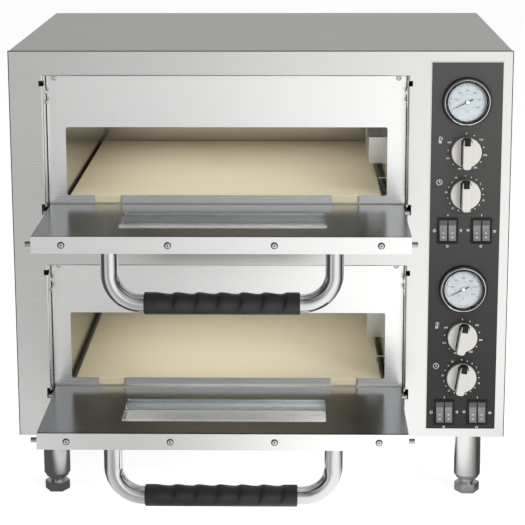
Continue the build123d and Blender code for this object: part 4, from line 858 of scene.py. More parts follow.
# ---------------------------------------------------------------- finishes of the CAD nodes
@dataclass
class FinishBook:
    """All finishes by the record's slot names, and the CAD nodes they dress."""

    effects: EffectLibrary
    stone_front: float
    stone_back: float
    joint: float = 1.2 * MM
    door_joint: float = 3.6 * MM
    plate_edge: float = 2.7 * MM
    materials: dict = field(default_factory=dict)

    @property
    def frame_low(self) -> tuple:
        """Low corner of the front frame's face inside its joint line."""
        return (CAD_BOX[0][0] + self.joint, -9.0, -9.0)

    @property
    def frame_high(self) -> tuple:
        """High corner of the front frame's face inside its joint line."""
        return (CAD_BOX[1][0] - self.joint, 9.0, CAD_BOX[1][2] - self.joint)

    @property
    def liner_low(self) -> tuple:
        """Low corner of the door liner inside its joint line."""
        return (-9.0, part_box("upper_door_liner")[0].y + self.door_joint, -9.0)

    @property
    def liner_high(self) -> tuple:
        """High corner of the door liner, which has no joint line there."""
        return (9.0, 9.0, 9.0)

    @property
    def plate_low(self) -> tuple:
        """Low corner of the face plates inside the dark gap at their sides."""
        return (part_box("upper_face_plate")[0].x + self.plate_edge, -9.0, -9.0)

    @property
    def plate_high(self) -> tuple:
        """High corner of the face plates inside the dark gap at their sides."""
        return (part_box("upper_face_plate")[1].x - self.plate_edge, 9.0, 9.0)

    def __post_init__(self) -> None:
        """Builds every material."""
        finishes = (
            Metal("brushed_steel", (0.74, 0.735, 0.72), 0.28, Grain.ACROSS, 0.86, 0.35),
            Metal("cover_steel", (0.80, 0.79, 0.765), 0.32, Grain.ACROSS, 0.72, 0.6),
            Metal("frame_steel", (0.76, 0.755, 0.74), 0.26, Grain.ACROSS, 0.88, 0.3, self.frame_low,
                  self.frame_high),
            Metal("plate_steel", (0.92, 0.92, 0.91), 0.26, Grain.ACROSS, 0.93, 0.2, self.plate_low,
                  self.plate_high),
            Metal("pan_steel", (0.93, 0.93, 0.92), 0.3, Grain.ACROSS, 0.92, 0.2),
            Metal("pin_steel", (0.45, 0.45, 0.45), 0.08, Grain.UPRIGHT, 0.9, 0.05),
            Metal("liner_steel", (0.56, 0.585, 0.62), 0.2, Grain.ACROSS, 0.85, 0.1, self.liner_low,
                  self.liner_high),
            Metal("chamber_steel", (0.70, 0.69, 0.66), 0.16, Grain.ACROSS, 0.82, 0.2),
            Metal("polished_steel", (0.70, 0.70, 0.695), 0.09, Grain.ACROSS, 0.9, 0.06),
            Metal("leg_steel", (0.74, 0.735, 0.72), 0.2, Grain.UPRIGHT, 0.88, 0.25),
            Metal("galvanised_sheet", (0.55, 0.56, 0.57), 0.42, Grain.DEEP, 0.75, 0.3),
            # The control panel's paint darkens towards its bottom edge: painted shade.
            PaintedSheet("panel_grey", (0.064, 0.063, 0.061), 0.4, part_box("control_panel")[0].z,
                         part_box("control_panel")[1].z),
            FiredStone("baking_stone", (0.77, 0.70, 0.50), (0.52, 0.45, 0.31), self.stone_front,
                       self.stone_back),
            Metal("element_sheath", (0.22, 0.20, 0.19), 0.5, Grain.ACROSS, 0.7, 0.3),
            Moulded("mineral_wool", (0.72, 0.68, 0.52), 0.95, 240.0, 0.7, 1.0),
            Glass("lamp_glass", (0.96, 0.95, 0.92), 0.35),
            Metal("chrome", (0.64, 0.64, 0.645), 0.06, Grain.ACROSS, 0.96, 0.02),
            Moulded("dial_face", (0.43, 0.465, 0.49), 0.6, 900.0, 0.93, 0.05),
            Glass("clear_glass", (0.975, 0.985, 0.98), 0.0),
            Moulded("bakelite", (0.05, 0.04, 0.035), 0.35, 1500.0, 0.8, 0.15),
            Moulded("black_plastic", (0.010, 0.010, 0.011), 0.35, 2200.0, 0.8, 0.1, 0.0, 0.2),
            Metal("screw_steel", (0.70, 0.70, 0.69), 0.18, Grain.ACROSS, 0.85, 0.1),
            Moulded("grip_rubber", (0.013, 0.013, 0.014), 0.36, 2600.0, 0.7, 0.25, 0.0, 0.45),
            Moulded("knob_plastic", (0.54, 0.53, 0.495), 0.36, 1300.0, 0.93, 0.06, 0.15),
            Moulded("needle_black", (0.075, 0.095, 0.125), 0.4, 2200.0, 0.8, 0.05),
            Moulded("rocker_plastic", (0.05, 0.05, 0.053), 0.2, 2200.0, 0.85, 0.05, 0.5),
            Moulded("smoked_lens", (0.19, 0.195, 0.20), 0.22, 700.0, 0.5, 0.6, 0.6),
            Moulded("white_print", (0.86, 0.86, 0.85), 0.5, 2600.0, 0.95, 0.02),
            Moulded("dial_print", (0.10, 0.13, 0.17), 0.5, 2600.0, 0.9, 0.02),
        )
        self.materials = {finish.name: finish.build(self.effects) for finish in finishes}

    def dress(self) -> None:
        """Gives each CAD node that stays its slot's finish, or its own where the slot is too broad."""
        own = {"upper_chamber": "chamber_steel", "lower_chamber": "chamber_steel", "leg_tubes": "leg_steel",
               "outer_cover": "cover_steel", "front_frame": "frame_steel", "sensor_bulbs": "element_sheath",
               "upper_face_plate": "plate_steel", "lower_face_plate": "plate_steel",
               "upper_door_liner": "liner_steel", "lower_door_liner": "liner_steel",
               "upper_door_pan": "pan_steel", "lower_door_pan": "pan_steel",
               "upper_door_pins": "pin_steel", "lower_door_pins": "pin_steel",
               "lamp_guards": "pan_steel"}
        own.update({f"{corner}_foot": "leg_steel" for corner in
                    ("front_left", "front_right", "back_left", "back_right")})
        slots = {part["node"]: part["material_slot"] for part in frame["record"]["subparts"]}
        for node, piece in frame["nodes"].items():
            material = self.materials[own.get(node, slots[node])]
            if not piece.material_slots:
                piece.data.materials.append(material)
            for index in range(len(piece.material_slots)):
                piece.material_slots[index].material = material


# ---------------------------------------------------------------- sub-assemblies
@dataclass
class ControlPrinting:
    """White printing on the control panel: a scale round each knob, and small signs."""

    book: FinishBook
    lift: float = 0.05 * MM
    thick: float = 0.12 * MM
    dot_radius: float = 0.75 * MM
    line: float = 0.7 * MM
    scale_radius: float = 25.6 * MM
    digit_height: float = 3.6 * MM
    sign_offset: tuple = (-37.0 * MM, 17.0 * MM)
    rocker_sign_offset: float = 12.4 * MM
    on_off_offset: float = 6.4 * MM
    on_off_height: float = 22.8 * MM
    temperature_marks: tuple = ("0", "100", "200", "300", "400", "500", "600")
    timer_marks: tuple = ("0", "5", "10", "15", "20", "25", "30")

    def _levels(self) -> tuple[float, float]:
        """Heights of the printing's back and front above the panel."""
        return self.lift, self.lift + self.thick

    def _finish(self, name: str, surface: Surface, x: float, z: float) -> None:
        """Places a print on the panel's face and dresses it.

        Args:
            name: Name of the piece.
            surface: The print, about its own origin.
            x: Place of its origin across the panel.
            z: Height of its origin.
        """
        face_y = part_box("control_panel")[0].y
        placed = surface.placed(FRONT_RIGHT, FRONT_UP, (x, face_y, z))
        make_piece(name, placed, "cabinet", self.book.materials["white_print"], merge=True)

    def _scale(self, marks: tuple, sweep: float, radius: float, dots: int) -> Surface:
        """Dots and numbers round a knob.

        Positions go clockwise from the top: x = radius sin a, y = radius cos a.

        Args:
            marks: The numbers, the first at the top.
            sweep: Angle of the whole scale in degrees.
            radius: Radius of the dots.
            dots: Dots between one number and the next.

        Returns:
            The print.
        """
        low, high = self._levels()
        steps = (len(marks) - 1) * (dots + 1)
        angles = np.radians(np.linspace(0, sweep, steps + 1))
        parts = [dot(radius * np.sin(a), radius * np.cos(a), self.dot_radius, low, high)
                 for n, a in enumerate(angles) if n % (dots + 1)]
        for mark, a in zip(marks, angles[:: dots + 1]):
            reach = radius + (1.6 if len(mark) > 1 and abs(np.sin(a)) > 0.5 else 0.6) * MM
            parts.append(number(mark, reach * np.sin(a), reach * np.cos(a), self.digit_height, low, high))
        return Surface.joined(parts)

    def _thermometer(self) -> Surface:
        """A thermometer sign: a bulb, a stem outline and three ticks."""
        low, high = self._levels()
        stem = arc(0, 3.6 * MM, 1.1 * MM, 0, 180, 9) + arc(0, -2.6 * MM, 1.9 * MM, 125, 415, 20)
        parts = [stroke(stem, 0.5 * MM, low, high, closed=True), dot(0, -2.6 * MM, 0.9 * MM, low, high)]
        parts += [stroke([(2.2 * MM, y * MM), (3.6 * MM, y * MM)], 0.5 * MM, low, high)
                  for y in (0.6, 2.2, 3.8)]
        return Surface.joined(parts)

    def _clock(self) -> Surface:
        """A clock sign: a circle and two hands."""
        low, high = self._levels()
        circle = arc(0, 0, 3.8 * MM, 0, 360, 33)[:-1]
        hands = [(0.0, 2.6 * MM), (0.0, 0.0), (1.9 * MM, -1.1 * MM)]
        return Surface.joined([stroke(circle, 0.55 * MM, low, high, closed=True),
                               stroke(hands, 0.55 * MM, low, high)])

    def _switch_signs(self) -> Surface:
        """A bar for on above a switch and a ring for off below it."""
        low, high = self._levels()
        top, bottom = self.on_off_height, -self.on_off_height
        bar = stroke([(0.0, top - 1.5 * MM), (0.0, top + 1.5 * MM)], self.line, low, high)
        ring = stroke(arc(0, bottom, 1.5 * MM, 0, 360, 25)[:-1], 0.5 * MM, low, high, closed=True)
        return Surface.joined([bar, ring])

    def _side_sign(self, name: str) -> Surface:
        """The sign beside a rocker.

        Args:
            name: What the rocker switches.

        Returns:
            The print, about its own origin.
        """
        low, high = self._levels()
        wave = np.linspace(-2.0, 2.0, 17)
        heat = [(x * MM, 0.7 * MM * np.sin(x * np.pi)) for x in wave]
        shapes = {
            "power": [stroke(arc(0, 0, 1.9 * MM, 125, 415, 24), 0.5 * MM, low, high),
                      stroke([(0.0, 0.3 * MM), (0.0, 2.4 * MM)], 0.5 * MM, low, high)],
            "lamp": [stroke(arc(0, 0.6 * MM, 1.5 * MM, -50, 230, 20), 0.5 * MM, low, high, closed=True),
                     stroke([(-0.8 * MM, -1.6 * MM), (0.8 * MM, -1.6 * MM)], 0.5 * MM, low, high)],
            "top_heat": [stroke([(-2.1 * MM, 1.9 * MM), (2.1 * MM, 1.9 * MM)], 0.55 * MM, low, high),
                         stroke(heat, 0.5 * MM, low, high)],
            "stone_heat": [stroke([(-2.1 * MM, -1.9 * MM), (2.1 * MM, -1.9 * MM)], 0.55 * MM, low, high),
                           stroke(heat, 0.5 * MM, low, high)],
        }
        return Surface.joined(shapes[name])

    def build(self) -> None:
        """Prints every deck's scales and signs."""
        for deck in DECKS:
            for control, marks, sweep, dots in (("temperature", self.temperature_marks, 300.0, 1),
                                                ("timer", self.timer_marks, 330.0, 2)):
                place = JOINTS[f"{deck}_{control}_turn"]["pos_m"]
                self._finish(f"{deck}_{control}_scale",
                             self._scale(marks, sweep, self.scale_radius, dots), place[0], place[2])
                sign = self._thermometer() if control == "temperature" else self._clock()
                self._finish(f"{deck}_{control}_sign", sign, place[0] + self.sign_offset[0],
                             place[2] + self.sign_offset[1])
            for index, name in enumerate(ROCKERS):
                rocker_low, rocker_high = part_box(f"{deck}_{name}_rocker")
                x = (rocker_low.x + rocker_high.x) / 2
                z = JOINTS[f"{deck}_{name}_rock"]["pos_m"][2]
                outward = -1 if index % 2 == 0 else 1
                self._finish(f"{deck}_{name}_sign", self._side_sign(name),
                             x + outward * self.rocker_sign_offset, z)
                if index % 2 == 0:
                    self._finish(f"{deck}_{name}_on_off_signs", self._switch_signs(),
                                 x + self.on_off_offset, z)
        LOG.info("control printing")


@dataclass
class Thermometers:
    """Bezels, dial printing and needle caps of the two thermometers."""

    book: FinishBook
    bezel_radius: float = 34.0 * MM
    throat: float = 27.9 * MM
    # Radius of the black band on the rim's crest, a painted dark reflection.
    painted_band_radius: float = 30.2 * MM
    cup_radius: float = 30.0 * MM
    rim_base: float = 3.4 * MM
    rim_rise: float = 4.6 * MM
    marks: tuple = ("0", "100", "200", "300", "400", "500", "600")
    rest_angle: float = 207.0
    sweep: float = 234.0

    def _bezel(self, cup_depth: float) -> Surface:
        """A domed chrome rim with its cup, as one ring turned about the gauge's axis.

        The rim's section is half an ellipse that stands on the panel; the cup is a plain tube.

        Args:
            cup_depth: How far the cup reaches behind the panel's face.

        Returns:
            The surface, with local Z towards the front.
        """
        bend = np.linspace(0, np.pi, 15)
        middle, half = (self.bezel_radius + self.throat) / 2, (self.bezel_radius - self.throat) / 2
        rim = [(middle + half * np.cos(a), self.rim_base + self.rim_rise * np.sin(a)) for a in bend]
        section = [(self.cup_radius, -cup_depth), (self.cup_radius, 0.0), (self.bezel_radius, 0.0)] + rim
        section += [(self.throat, -cup_depth)]
        line = np.array(section)[:, :, None]
        angle = np.linspace(0, 2 * np.pi, 96, endpoint=False)[None, :]
        points = np.stack(
            [line[:, 0] * np.cos(angle), line[:, 0] * np.sin(angle), line[:, 1] + 0 * angle], -1)
        ring = Surface.grid(points, True, True).flipped()
        bottom = Surface.turned([(29.5 * MM, -cup_depth - 1.2 * MM), (29.5 * MM, -cup_depth)], 64)
        return Surface.joined([ring, bottom])

    def _dial(self) -> Surface:
        """Ticks and numbers, clockwise from the needle's rest, with a thin ring inside the ticks."""
        low, high = 0.05 * MM, 0.15 * MM
        fine = np.radians(self.rest_angle - np.linspace(0, self.sweep, 61))
        parts = []
        for n, a in enumerate(fine):
            inner = (20.6 if n % 10 == 0 else 22.2 if n % 5 == 0 else 23.2) * MM
            width = (0.55 if n % 10 == 0 else 0.25) * MM
            ends = [(reach * np.cos(a), reach * np.sin(a)) for reach in (inner, 24.6 * MM)]
            parts.append(stroke(ends, width, low, high))
        parts.append(stroke(arc(0, 0, 25.0 * MM, self.rest_angle, self.rest_angle - self.sweep, 65),
                            0.3 * MM, low, high))
        parts.append(stroke(arc(0, 0, 11.5 * MM, 0, 360, 49)[:-1], 0.2 * MM, low, high, closed=True))
        for mark, a in zip(self.marks, fine[::10]):
            parts.append(number(mark, 16.4 * MM * np.cos(a), 16.4 * MM * np.sin(a), 4.0 * MM, low, high))
        parts.append(dot(0, -14.0 * MM, 0.8 * MM, low, high))
        return Surface.joined(parts)

    def build(self) -> None:
        """Makes both bezels as one piece, and each deck's printing and needle cap."""
        panel_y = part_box("control_panel")[0].y
        case_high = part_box("gauge_cases")[1]
        dial_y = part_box("gauge_dials")[0].y
        bezels = []
        for deck in DECKS:
            x, _, z = JOINTS[f"{deck}_needle_turn"]["pos_m"]
            depth = case_high.y - panel_y - 1.3 * MM
            bezels.append(self._bezel(depth).placed(FRONT_RIGHT, FRONT_UP, (x, panel_y, z)))
            print_face = self._dial().placed(FRONT_RIGHT, FRONT_UP, (x, dial_y, z))
            make_piece(f"{deck}_dial_printing", print_face, "cabinet",
                       self.book.materials["dial_print"], merge=True)
            needle_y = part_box(f"{deck}_gauge_needle")[0].y
            cap = Surface.turned([(2.4 * MM, 0.02 * MM), (2.4 * MM, 0.3 * MM), (1.9 * MM, 0.65 * MM),
                                  (0.9 * MM, 0.85 * MM)], 32)
            make_piece(f"{deck}_needle_cap", cap.placed(FRONT_RIGHT, FRONT_UP, (x, needle_y, z)),
                       f"{deck}_gauge_needle", self.book.materials["white_print"])
            # Black rings: a seal inside the throat; a band on the rim's crest, a painted dark reflection standing
            # in for dark studio cards seen in the chrome; and a gasket at the rim's foot, whose dark outline is
            # also painted shade where the bezel meets the panel.
            seals_and_bands = Surface.joined([tube_ring(reach, thick, level, 96) for reach, thick, level in (
                (self.throat - 0.1 * MM, 0.75 * MM, 5.2 * MM),
                (self.painted_band_radius, 0.95 * MM, 7.5 * MM),
                (self.bezel_radius + 0.3 * MM, 0.9 * MM, 0.95 * MM))])
            make_piece(f"{deck}_gauge_seals_and_painted_bands", seals_and_bands.placed(FRONT_RIGHT, FRONT_UP, (x, panel_y, z)),
                       "cabinet", self.book.materials["black_plastic"])
        piece = make_piece("gauge_bezels", Surface.joined(bezels), "cabinet",
                           self.book.materials["chrome"])
        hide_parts("gauge_cases")
        LOG.info("thermometers")


@dataclass
class Knobs:
    """Off-white knobs with a raised bar, each with a black pointer let into the bar's end."""

    book: FinishBook
    lower_turn: float = -9.0

    def _pointer_and_painted_shadow(self) -> Surface:
        """The black insert: a tab on the bar's face, a hood round its upper end, and a line beside it.

        The hood is a band carried round the bar's rounded end: down one corner's arc, across, and down
        the other's. The line is painted shadow: a black strip on the disc along the bar's left side, where
        the bar's shade falls.

        Returns:
            The surface, with local Z = 0 at the bar's face.
        """
        tab = rounded_box(8.8 * MM, 10.0 * MM, -1.0 * MM, 0.3 * MM, 0.9 * MM, 0.25 * MM)
        tab.points = tab.points + np.array([0.0, 16.2 * MM, 0.0])
        half, end, corner = 6.1 * MM, 21.4 * MM, 4.1 * MM
        left = arc(-half + corner, end - corner, corner, 180, 90, 7)
        right = arc(half - corner, end - corner, corner, 90, 0, 7)
        hood = stroke([(-half, 13.0 * MM)] + left + right + [(half, 16.0 * MM)], 0.8 * MM, -11.9 * MM,
                      0.15 * MM)
        # Painted shadow: a black strip on the disc along the bar's left side, where the bar's shade falls.
        line = stroke([(-half - 0.9 * MM, -18.6 * MM), (-half - 0.9 * MM, 18.0 * MM)], 1.7 * MM,
                      -12.2 * MM, -11.75 * MM)
        return Surface.joined([tab, hood, line])

    def build(self) -> None:
        """Adds the black insert, with a painted shadow line beside its bar, to every knob."""
        for deck in DECKS:
            turn = np.radians(self.lower_turn if deck == "lower" else 0.0)
            right = (float(np.cos(turn)), 0.0, float(np.sin(turn)))
            up = (float(-np.sin(turn)), 0.0, float(np.cos(turn)))
            for control in CONTROLS:
                body = f"{deck}_{control}_knob"
                x, _, z = JOINTS[f"{deck}_{control}_turn"]["pos_m"]
                pointer = self._pointer_and_painted_shadow().placed(right, up, (x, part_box(body)[0].y, z))
                make_piece(f"{body}_pointer_and_painted_shadow", pointer, body,
                           self.book.materials["black_plastic"])
        LOG.info("knobs")


@dataclass
class SwitchRockers:
    """Smoked lenses over the rockers' shallow V faces, with two white marks on each."""

    book: FinishBook
    width: float = 10.0 * MM
    ridge: float = 3.0 * MM
    half: float = 15.0 * MM
    tilt: float = 9.0

    def _faces(self) -> tuple[Array, Array, Array]:
        """The middle and both ends of a rocker's face, as (outwards, up) from its pivot."""
        lean = np.radians(self.tilt)
        turn = np.array([[np.cos(lean), np.sin(lean)], [-np.sin(lean), np.cos(lean)]])
        reach = self.ridge + self.half * np.tan(lean)
        points = np.array([[self.ridge, 0.0], [reach, -self.half], [reach, self.half]])
        middle, lower, upper = points @ turn
        return middle, lower, upper

    def build(self) -> None:
        """Adds a lens and its marks to every rocker."""
        middle, lower, upper = self._faces()
        out = np.array([0.25 * MM, 0.0])
        # The lens covers the lower face and half the upper one. Above it the rocker's black plastic shows, partly
        # its own colour and partly painted shade for the pressed-in upper end.
        route = [middle + 0.94 * (lower - middle) + out, middle + out,
                 middle + 0.52 * (upper - middle) + out]
        slope = (lower - middle) / np.linalg.norm(lower - middle)
        up = (0.0, float(slope[0]), float(-slope[1]))
        for deck in DECKS:
            for name in ROCKERS:
                body = f"{deck}_{name}_rocker"
                x, y, z = JOINTS[f"{deck}_{name}_rock"]["pos_m"]
                lens = stroke(route, 0.5 * MM, -self.width / 2, self.width / 2)
                lens = lens.placed((0.0, -1.0, 0.0), FRONT_UP, (x, y, z))
                make_piece(f"{body}_lens", lens, body, self.book.materials["smoked_lens"])
                marks = []
                for share in (0.22, 0.62):
                    place = middle + share * (lower - middle) + 2.0 * out
                    dash = stroke([(-1.3 * MM, 0.0), (1.3 * MM, 0.0)], 0.8 * MM, 0.0, 0.15 * MM)
                    marks.append(dash.placed(FRONT_RIGHT, up, (x, y - place[0], z + place[1])))
                make_piece(f"{body}_marks", Surface.joined(marks), body,
                           self.book.materials["white_print"])
        LOG.info("switch rockers")


@dataclass
class Grips:
    """Rubber grips with finger scoops that face the door."""

    book: FinishBook
    scoops: int = 6
    pitch: float = 30.0 * MM
    depth: float = 2.5 * MM
    bore: float = 12.5 * MM
    facing: float = 128.0

    def _sleeve(self, length: float, radius: float) -> Surface:
        """A sleeve along local X, with a bore.

        Round the axis the radius is the sleeve's own, less a scoop. Along the grip each scoop deepens
        slowly and ends in a steep lip: the square of a quarter sine up to the lip, then the square of a
        quarter cosine down to nothing.
        Round the grip it is full between the door's side and the front and fades out below the middle;
        its lip slants back as it comes down the front.

        Args:
            length: Length of the grip.
            radius: Outer radius.

        Returns:
            The surface.
        """
        x = np.linspace(-length / 2, length / 2, 260)[:, None]
        angle = np.linspace(0, 2 * np.pi, 72, endpoint=False)[None, :]
        toward_door = np.cos(angle - np.radians(self.facing))
        slant = 5.0 * MM * (1 - toward_door)
        along = (x + slant + self.scoops * self.pitch / 2) / self.pitch
        inside = (along > 0) & (along < self.scoops)
        step = along % 1.0
        rising = np.sin(np.clip(step / 0.78, 0, 1) * np.pi / 2) ** 2.0
        falling = np.cos(np.clip((step - 0.78) / 0.22, 0, 1) * np.pi / 2) ** 2
        fade = np.clip((toward_door + 0.1) / 0.75, 0, 1)
        fade = fade * fade * (3 - 2 * fade)
        scoop = np.where(inside, self.depth * rising * falling * fade, 0.0)
        end = np.clip((length / 2 - np.abs(x)) / (2.0 * MM), 0, 1)
        rounded = radius - 1.6 * MM * (1 - np.sqrt(1 - (1 - end) ** 2))
        reach = rounded - scoop
        outside = np.stack([x + 0 * angle, reach * np.cos(angle), reach * np.sin(angle)], axis=-1)
        inner = np.stack([x[::-1][::20] + 0 * angle, self.bore * np.cos(angle) + 0 * x[::20],
                          self.bore * np.sin(angle) + 0 * x[::20]], axis=-1)
        return Surface.grid(np.concatenate([outside, inner]), True, True).flipped()

    def build(self) -> None:
        """Makes both grips in place of the plain CAD sleeves."""
        for deck in DECKS:
            node = f"{deck}_handle_grip"
            low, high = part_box(node)
            middle = ((low.x + high.x) / 2, (low.y + high.y) / 2, low.z + (high.y - low.y) / 2)
            sleeve = self._sleeve(high.x - low.x, (high.y - low.y) / 2)
            placed = Surface(sleeve.points + np.array(middle), sleeve.faces)
            piece = make_piece(node + "_moulded", placed, f"{deck}_door",
                               self.book.materials["grip_rubber"], smooth=50.0)
            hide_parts(node)
        LOG.info("grips")


@dataclass
class Screws:
    """Domed screws with a blind centre, in place of the plain CAD ones."""

    book: FinishBook
    head_radius: float = 3.8 * MM
    head_height: float = 1.8 * MM
    shank: float = 2.0 * MM
    length: float = 8.0 * MM
    door_offsets: tuple = (-213.0 * MM, -71.0 * MM, 71.0 * MM, 213.0 * MM)
    handle_offset: float = 152.0 * MM
    handle_setback: float = 26.0 * MM
    back_inset: float = 12.0 * MM
    leg_radius: float = 19.5 * MM

    def _screw(self) -> Surface:
        """A screw along local Z: its dome follows a quarter ellipse and sinks to a round blind centre."""
        bend = np.linspace(0.0, np.pi / 2, 8)[:-1]
        dome = [(1.5 * MM + (self.head_radius - 1.5 * MM) * np.cos(a), 0.5 * MM + 1.3 * MM * np.sin(a))
                for a in bend]
        profile = [(self.shank, -self.length), (self.shank, 0.0), (self.head_radius, 0.0)] + dome
        profile += [(1.5 * MM, self.head_height), (1.1 * MM, self.head_height - 0.2 * MM),
                    (1.0 * MM, 0.6 * MM), (0.3 * MM, 0.5 * MM)]
        return Surface.turned(profile, 32)

    @staticmethod
    def _bolt(radius: float, height: float, shank: float, length: float) -> Surface:
        """A hexagon bolt along local Z, head up: a six-sided turn for the head and a round shank."""
        head = Surface.turned([(radius * 0.93, 0.0), (radius, 0.3 * MM), (radius, height - 0.6 * MM),
                               (radius * 0.9, height)], 6)
        stem = Surface.turned([(shank, -length), (shank, 0.2 * MM)], 24)
        return Surface.joined([head, stem])

    def build(self) -> None:
        """Makes each door's screws and handle bolts, and the cabinet's screws and leg bolts."""
        for deck in DECKS:
            node = f"{deck}_door_screws"
            pan_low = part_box(f"{deck}_door_pan")[0]
            x, _, z = JOINTS[f"{deck}_door_hinge"]["pos_m"]
            parts = [self._screw().placed(FRONT_RIGHT, FRONT_UP, (x + offset, pan_low.y, z))
                     for offset in self.door_offsets]
            bolt = self._bolt(6.5 * MM, 5.0 * MM, 4.0 * MM, 11.2 * MM)
            handle_y = pan_low.y + self.handle_setback
            parts += [bolt.placed((1, 0, 0), (0, 1, 0),
                                  (x + side * self.handle_offset, handle_y, pan_low.z + 1.2 * MM))
                      for side in (-1, 1)]
            piece = make_piece(f"{deck}_door_fixings", Surface.joined(parts), f"{deck}_door",
                               self.book.materials["screw_steel"])
            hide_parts(node)
            # Painted shade: a black disc behind each screw head shows as a dark ring round it, standing in for its
            # contact shadow, and a black dot darkens the blind centre.
            screw_shade = Surface.joined([dot(0.0, 0.0, 4.8 * MM, 0.02 * MM, 0.14 * MM, 32),
                                     dot(0.0, 0.0, 0.98 * MM, 0.52 * MM, 0.8 * MM)])
            rings = [screw_shade.placed(FRONT_RIGHT, FRONT_UP, (x + offset, pan_low.y, z))
                     for offset in self.door_offsets]
            make_piece(f"{deck}_door_screw_shade", Surface.joined(rings), f"{deck}_door",
                       self.book.materials["black_plastic"])
        self._cabinet()
        LOG.info("screws")

    def _cabinet(self) -> None:
        """Makes the screws of the face plates and the back panel, and the leg bolts."""
        parts = []
        for deck in DECKS:
            low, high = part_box(f"{deck}_face_plate")
            for x in (low.x + 13.5 * MM, high.x - 13.5 * MM):
                parts.append(self._screw().placed(FRONT_RIGHT, FRONT_UP, (x, low.y, high.z - 7.5 * MM)))
        low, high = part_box("back_panel")
        middle_z = (low.z + high.z) / 2
        inset = self.back_inset
        places = [(x, z) for x in (low.x + inset, high.x - inset)
                  for z in (low.z + inset, middle_z, high.z - inset)]
        places += [(0.0, low.z + inset), (0.0, high.z - inset)]
        parts += [self._screw().placed((-1, 0, 0), FRONT_UP, (x, high.y, z)) for x, z in places]
        pan_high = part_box("base_pan")[1]
        legs_low, legs_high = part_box("leg_tubes")
        radius = self.leg_radius
        bolt = self._bolt(10.0 * MM, 5.0 * MM, 5.0 * MM, 12.0 * MM)
        parts += [bolt.placed((1, 0, 0), (0, 1, 0), (x, y, pan_high.z))
                  for x in (legs_low.x + radius, legs_high.x - radius)
                  for y in (legs_low.y + radius, legs_high.y - radius)]
        piece = make_piece("cabinet_fixings", Surface.joined(parts), "cabinet",
                           self.book.materials["screw_steel"])
        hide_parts("cabinet_screws")


@dataclass
class Trim:
    """Bright edge round the control panel."""

    book: FinishBook
    width: float = 1.3 * MM

    def build(self) -> None:
        """Makes the edge as one mitred frame against the panel's sides."""
        low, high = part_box("control_panel")
        half_x, half_z = (high.x - low.x + self.width) / 2, (high.z - low.z + self.width) / 2
        route = [(-half_x, -half_z), (half_x, -half_z), (half_x, half_z), (-half_x, half_z)]
        edge = stroke(route, self.width, -(high.y - low.y) + 0.02 * MM, 0.1 * MM, closed=True)
        placed = edge.placed(FRONT_RIGHT, FRONT_UP, ((low.x + high.x) / 2, low.y, (low.z + high.z) / 2))
        make_piece("panel_edge_trim", placed, "cabinet",
                   self.book.materials["brushed_steel"], merge=True)
        LOG.info("trim")


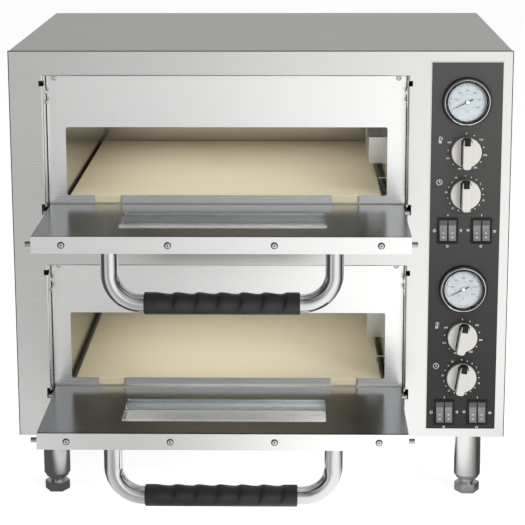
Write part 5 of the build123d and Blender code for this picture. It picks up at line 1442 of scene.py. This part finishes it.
# ---------------------------------------------------------------- studio
@dataclass
class Studio:
    """Pale floor, soft lights and the camera."""

    effects: EffectLibrary
    eye: tuple = (0.0496, -2.6418, 0.9775)
    pitch: float = 78.048
    roll: float = 0.132
    yaw: float = 1.054
    lens: float = 121.25
    shift: float = -0.12
    lights: tuple = (
        ("right_softbox", (2.1, -2.2, 0.9), (0.0, 0.0, 0.4), (1.2, 1.8), 55.0),
        ("top_softbox", (0.1, -0.9, 2.4), (0.0, 0.0, 0.4), (2.2, 1.2), 16.0),
        ("left_fill", (-2.3, -1.6, 1.1), (0.0, 0.0, 0.4), (0.8, 1.8), 6.0),
    )
    chamber_power: float = 0.5
    chamber_size: tuple = (0.40, 0.38)
    chamber_setback: float = 0.20
    chamber_height: float = 0.104

    def _world(self) -> None:
        """A white studio: plain white behind the object, and bright and dark cards in what lights it."""
        world = bpy.data.worlds.new("studio")
        bpy.context.scene.world = world
        world.use_nodes = True
        world.node_tree.nodes.clear()
        kit = NodeKit(world.node_tree)
        way = kit.node("ShaderNodeTexCoord").outputs["Generated"]
        parts = kit.node("ShaderNodeSeparateXYZ")
        kit.join(way, parts.inputs[0])
        cards = kit.node("ShaderNodeGroup", node_tree=self.effects.cards)
        kit.join(way, cards.inputs["Direction"])
        kit.join(parts.outputs["Z"], cards.inputs["Height"])
        lit = kit.node("ShaderNodeBackground")
        kit.join(cards.outputs["Level"], lit.inputs["Color"])
        seen = kit.node("ShaderNodeBackground", Color=(1.0, 1.0, 1.0, 1.0))
        mix = kit.node("ShaderNodeMixShader")
        kit.join(kit.node("ShaderNodeLightPath").outputs["Is Camera Ray"], mix.inputs[0])
        kit.join(lit.outputs[0], mix.inputs[1])
        kit.join(seen.outputs[0], mix.inputs[2])
        kit.join(mix.outputs[0], kit.node("ShaderNodeOutputWorld").inputs["Surface"])

    def _floor_paint(self) -> bpy.types.Material:
        """White paint that glows a little to the eye; polished metal sees the studio cards in it.

        Returns:
            The material.
        """
        material = bpy.data.materials.new("floor_paint")
        material.use_nodes = True
        material.node_tree.nodes.clear()
        kit = NodeKit(material.node_tree)
        paint = kit.node("ShaderNodeBsdfPrincipled", Base_Color=(0.9, 0.9, 0.9, 1.0), Roughness=0.9,
                         Emission_Color=(1.0, 1.0, 1.0, 1.0), Emission_Strength=0.74)
        cards = kit.node("ShaderNodeGroup", node_tree=self.effects.cards)
        kit.join(kit.node("ShaderNodeTexCoord").outputs["Object"], cards.inputs["Direction"])
        glow = kit.node("ShaderNodeEmission")
        kit.join(cards.outputs["Level"], glow.inputs["Color"])
        mix = kit.node("ShaderNodeMixShader")
        kit.join(kit.node("ShaderNodeLightPath").outputs["Is Glossy Ray"], mix.inputs[0])
        kit.join(paint.outputs[0], mix.inputs[1])
        kit.join(glow.outputs[0], mix.inputs[2])
        kit.join(mix.outputs[0], kit.node("ShaderNodeOutputMaterial").inputs["Surface"])
        return material

    def _floor(self) -> None:
        """A round pale floor under the feet, a disc of rings and spokes."""
        radius = np.linspace(0.02, 12.0, 12)[:, None]
        angle = np.linspace(0, 2 * np.pi, 64, endpoint=False)[None, :]
        points = np.stack(
            [radius * np.cos(angle), radius * np.sin(angle), -0.0005 + 0 * radius * angle], axis=-1)
        surface = Surface.grid(points, False, True)
        surface.faces.append(list(range(64)))
        mesh = bpy.data.meshes.new("studio_floor")
        mesh.from_pydata(surface.points, [], surface.faces)
        mesh.materials.append(self._floor_paint())
        floor = bpy.data.objects.new("studio_floor", mesh)
        bpy.context.scene.collection.objects.link(floor)

    def _light(self, name: str, place: tuple, aim: tuple, size: tuple, power: float) -> bpy.types.Object:
        """Adds one soft light.

        Args:
            name: Name of the light.
            place: Where it stands.
            aim: The point that it faces.
            size: Its width and height.
            power: Its power in watts.

        Returns:
            The light.
        """
        data = bpy.data.lights.new(name, "AREA")
        data.shape, data.size, data.size_y, data.energy = "RECTANGLE", size[0], size[1], power
        light = bpy.data.objects.new(name, data)
        way = np.array(aim) - np.array(place)
        yaw, pitch = np.arctan2(way[0], way[1]), np.arctan2(way[2], np.hypot(way[0], way[1]))
        light.rotation_euler = Euler((np.pi / 2 + pitch, 0.0, -yaw))
        light.location = place
        light.visible_camera = False
        bpy.context.scene.collection.objects.link(light)
        return light

    def build(self) -> None:
        """Builds the world, floor, lights and camera."""
        self._world()
        self._floor()
        for light in self.lights:
            self._light(*light).visible_glossy = False
        for deck in DECKS:
            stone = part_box(f"{deck}_stone")
            place = ((stone[0].x + stone[1].x) / 2, stone[0].y + self.chamber_setback,
                     stone[1].z + self.chamber_height)
            lamp = self._light(f"{deck}_chamber_light", place, (place[0], place[1] + 0.0001, 0.0),
                               self.chamber_size, self.chamber_power)
            lamp.visible_glossy = False
        data = bpy.data.cameras.new("studio_camera")
        data.sensor_width, data.lens, data.shift_y = 36.0, self.lens, self.shift
        data.clip_start, data.clip_end = 0.05, 100.0
        camera = bpy.data.objects.new("studio_camera", data)
        camera.location = self.eye
        camera.rotation_euler = Euler(np.radians((self.pitch, self.roll, self.yaw)))
        bpy.context.scene.collection.objects.link(camera)
        bpy.context.scene.camera = camera
        bpy.context.scene.view_settings.view_transform = "Standard"
        LOG.info("studio")


def main() -> None:
    """Builds the finishes, the pieces and the studio, in that order."""
    logging.basicConfig(level=logging.INFO, format="%(name)s: %(message)s")
    stone_low, stone_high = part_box("upper_stone")
    book = FinishBook(EffectLibrary(), stone_low.y, stone_high.y)
    book.dress()
    LOG.info("finishes")
    for assembly in (ControlPrinting, Thermometers, Knobs, SwitchRockers, Grips, Screws, Trim):
        assembly(book).build()
    Studio(book.effects).build()


if __name__ == "__main__":
    main()
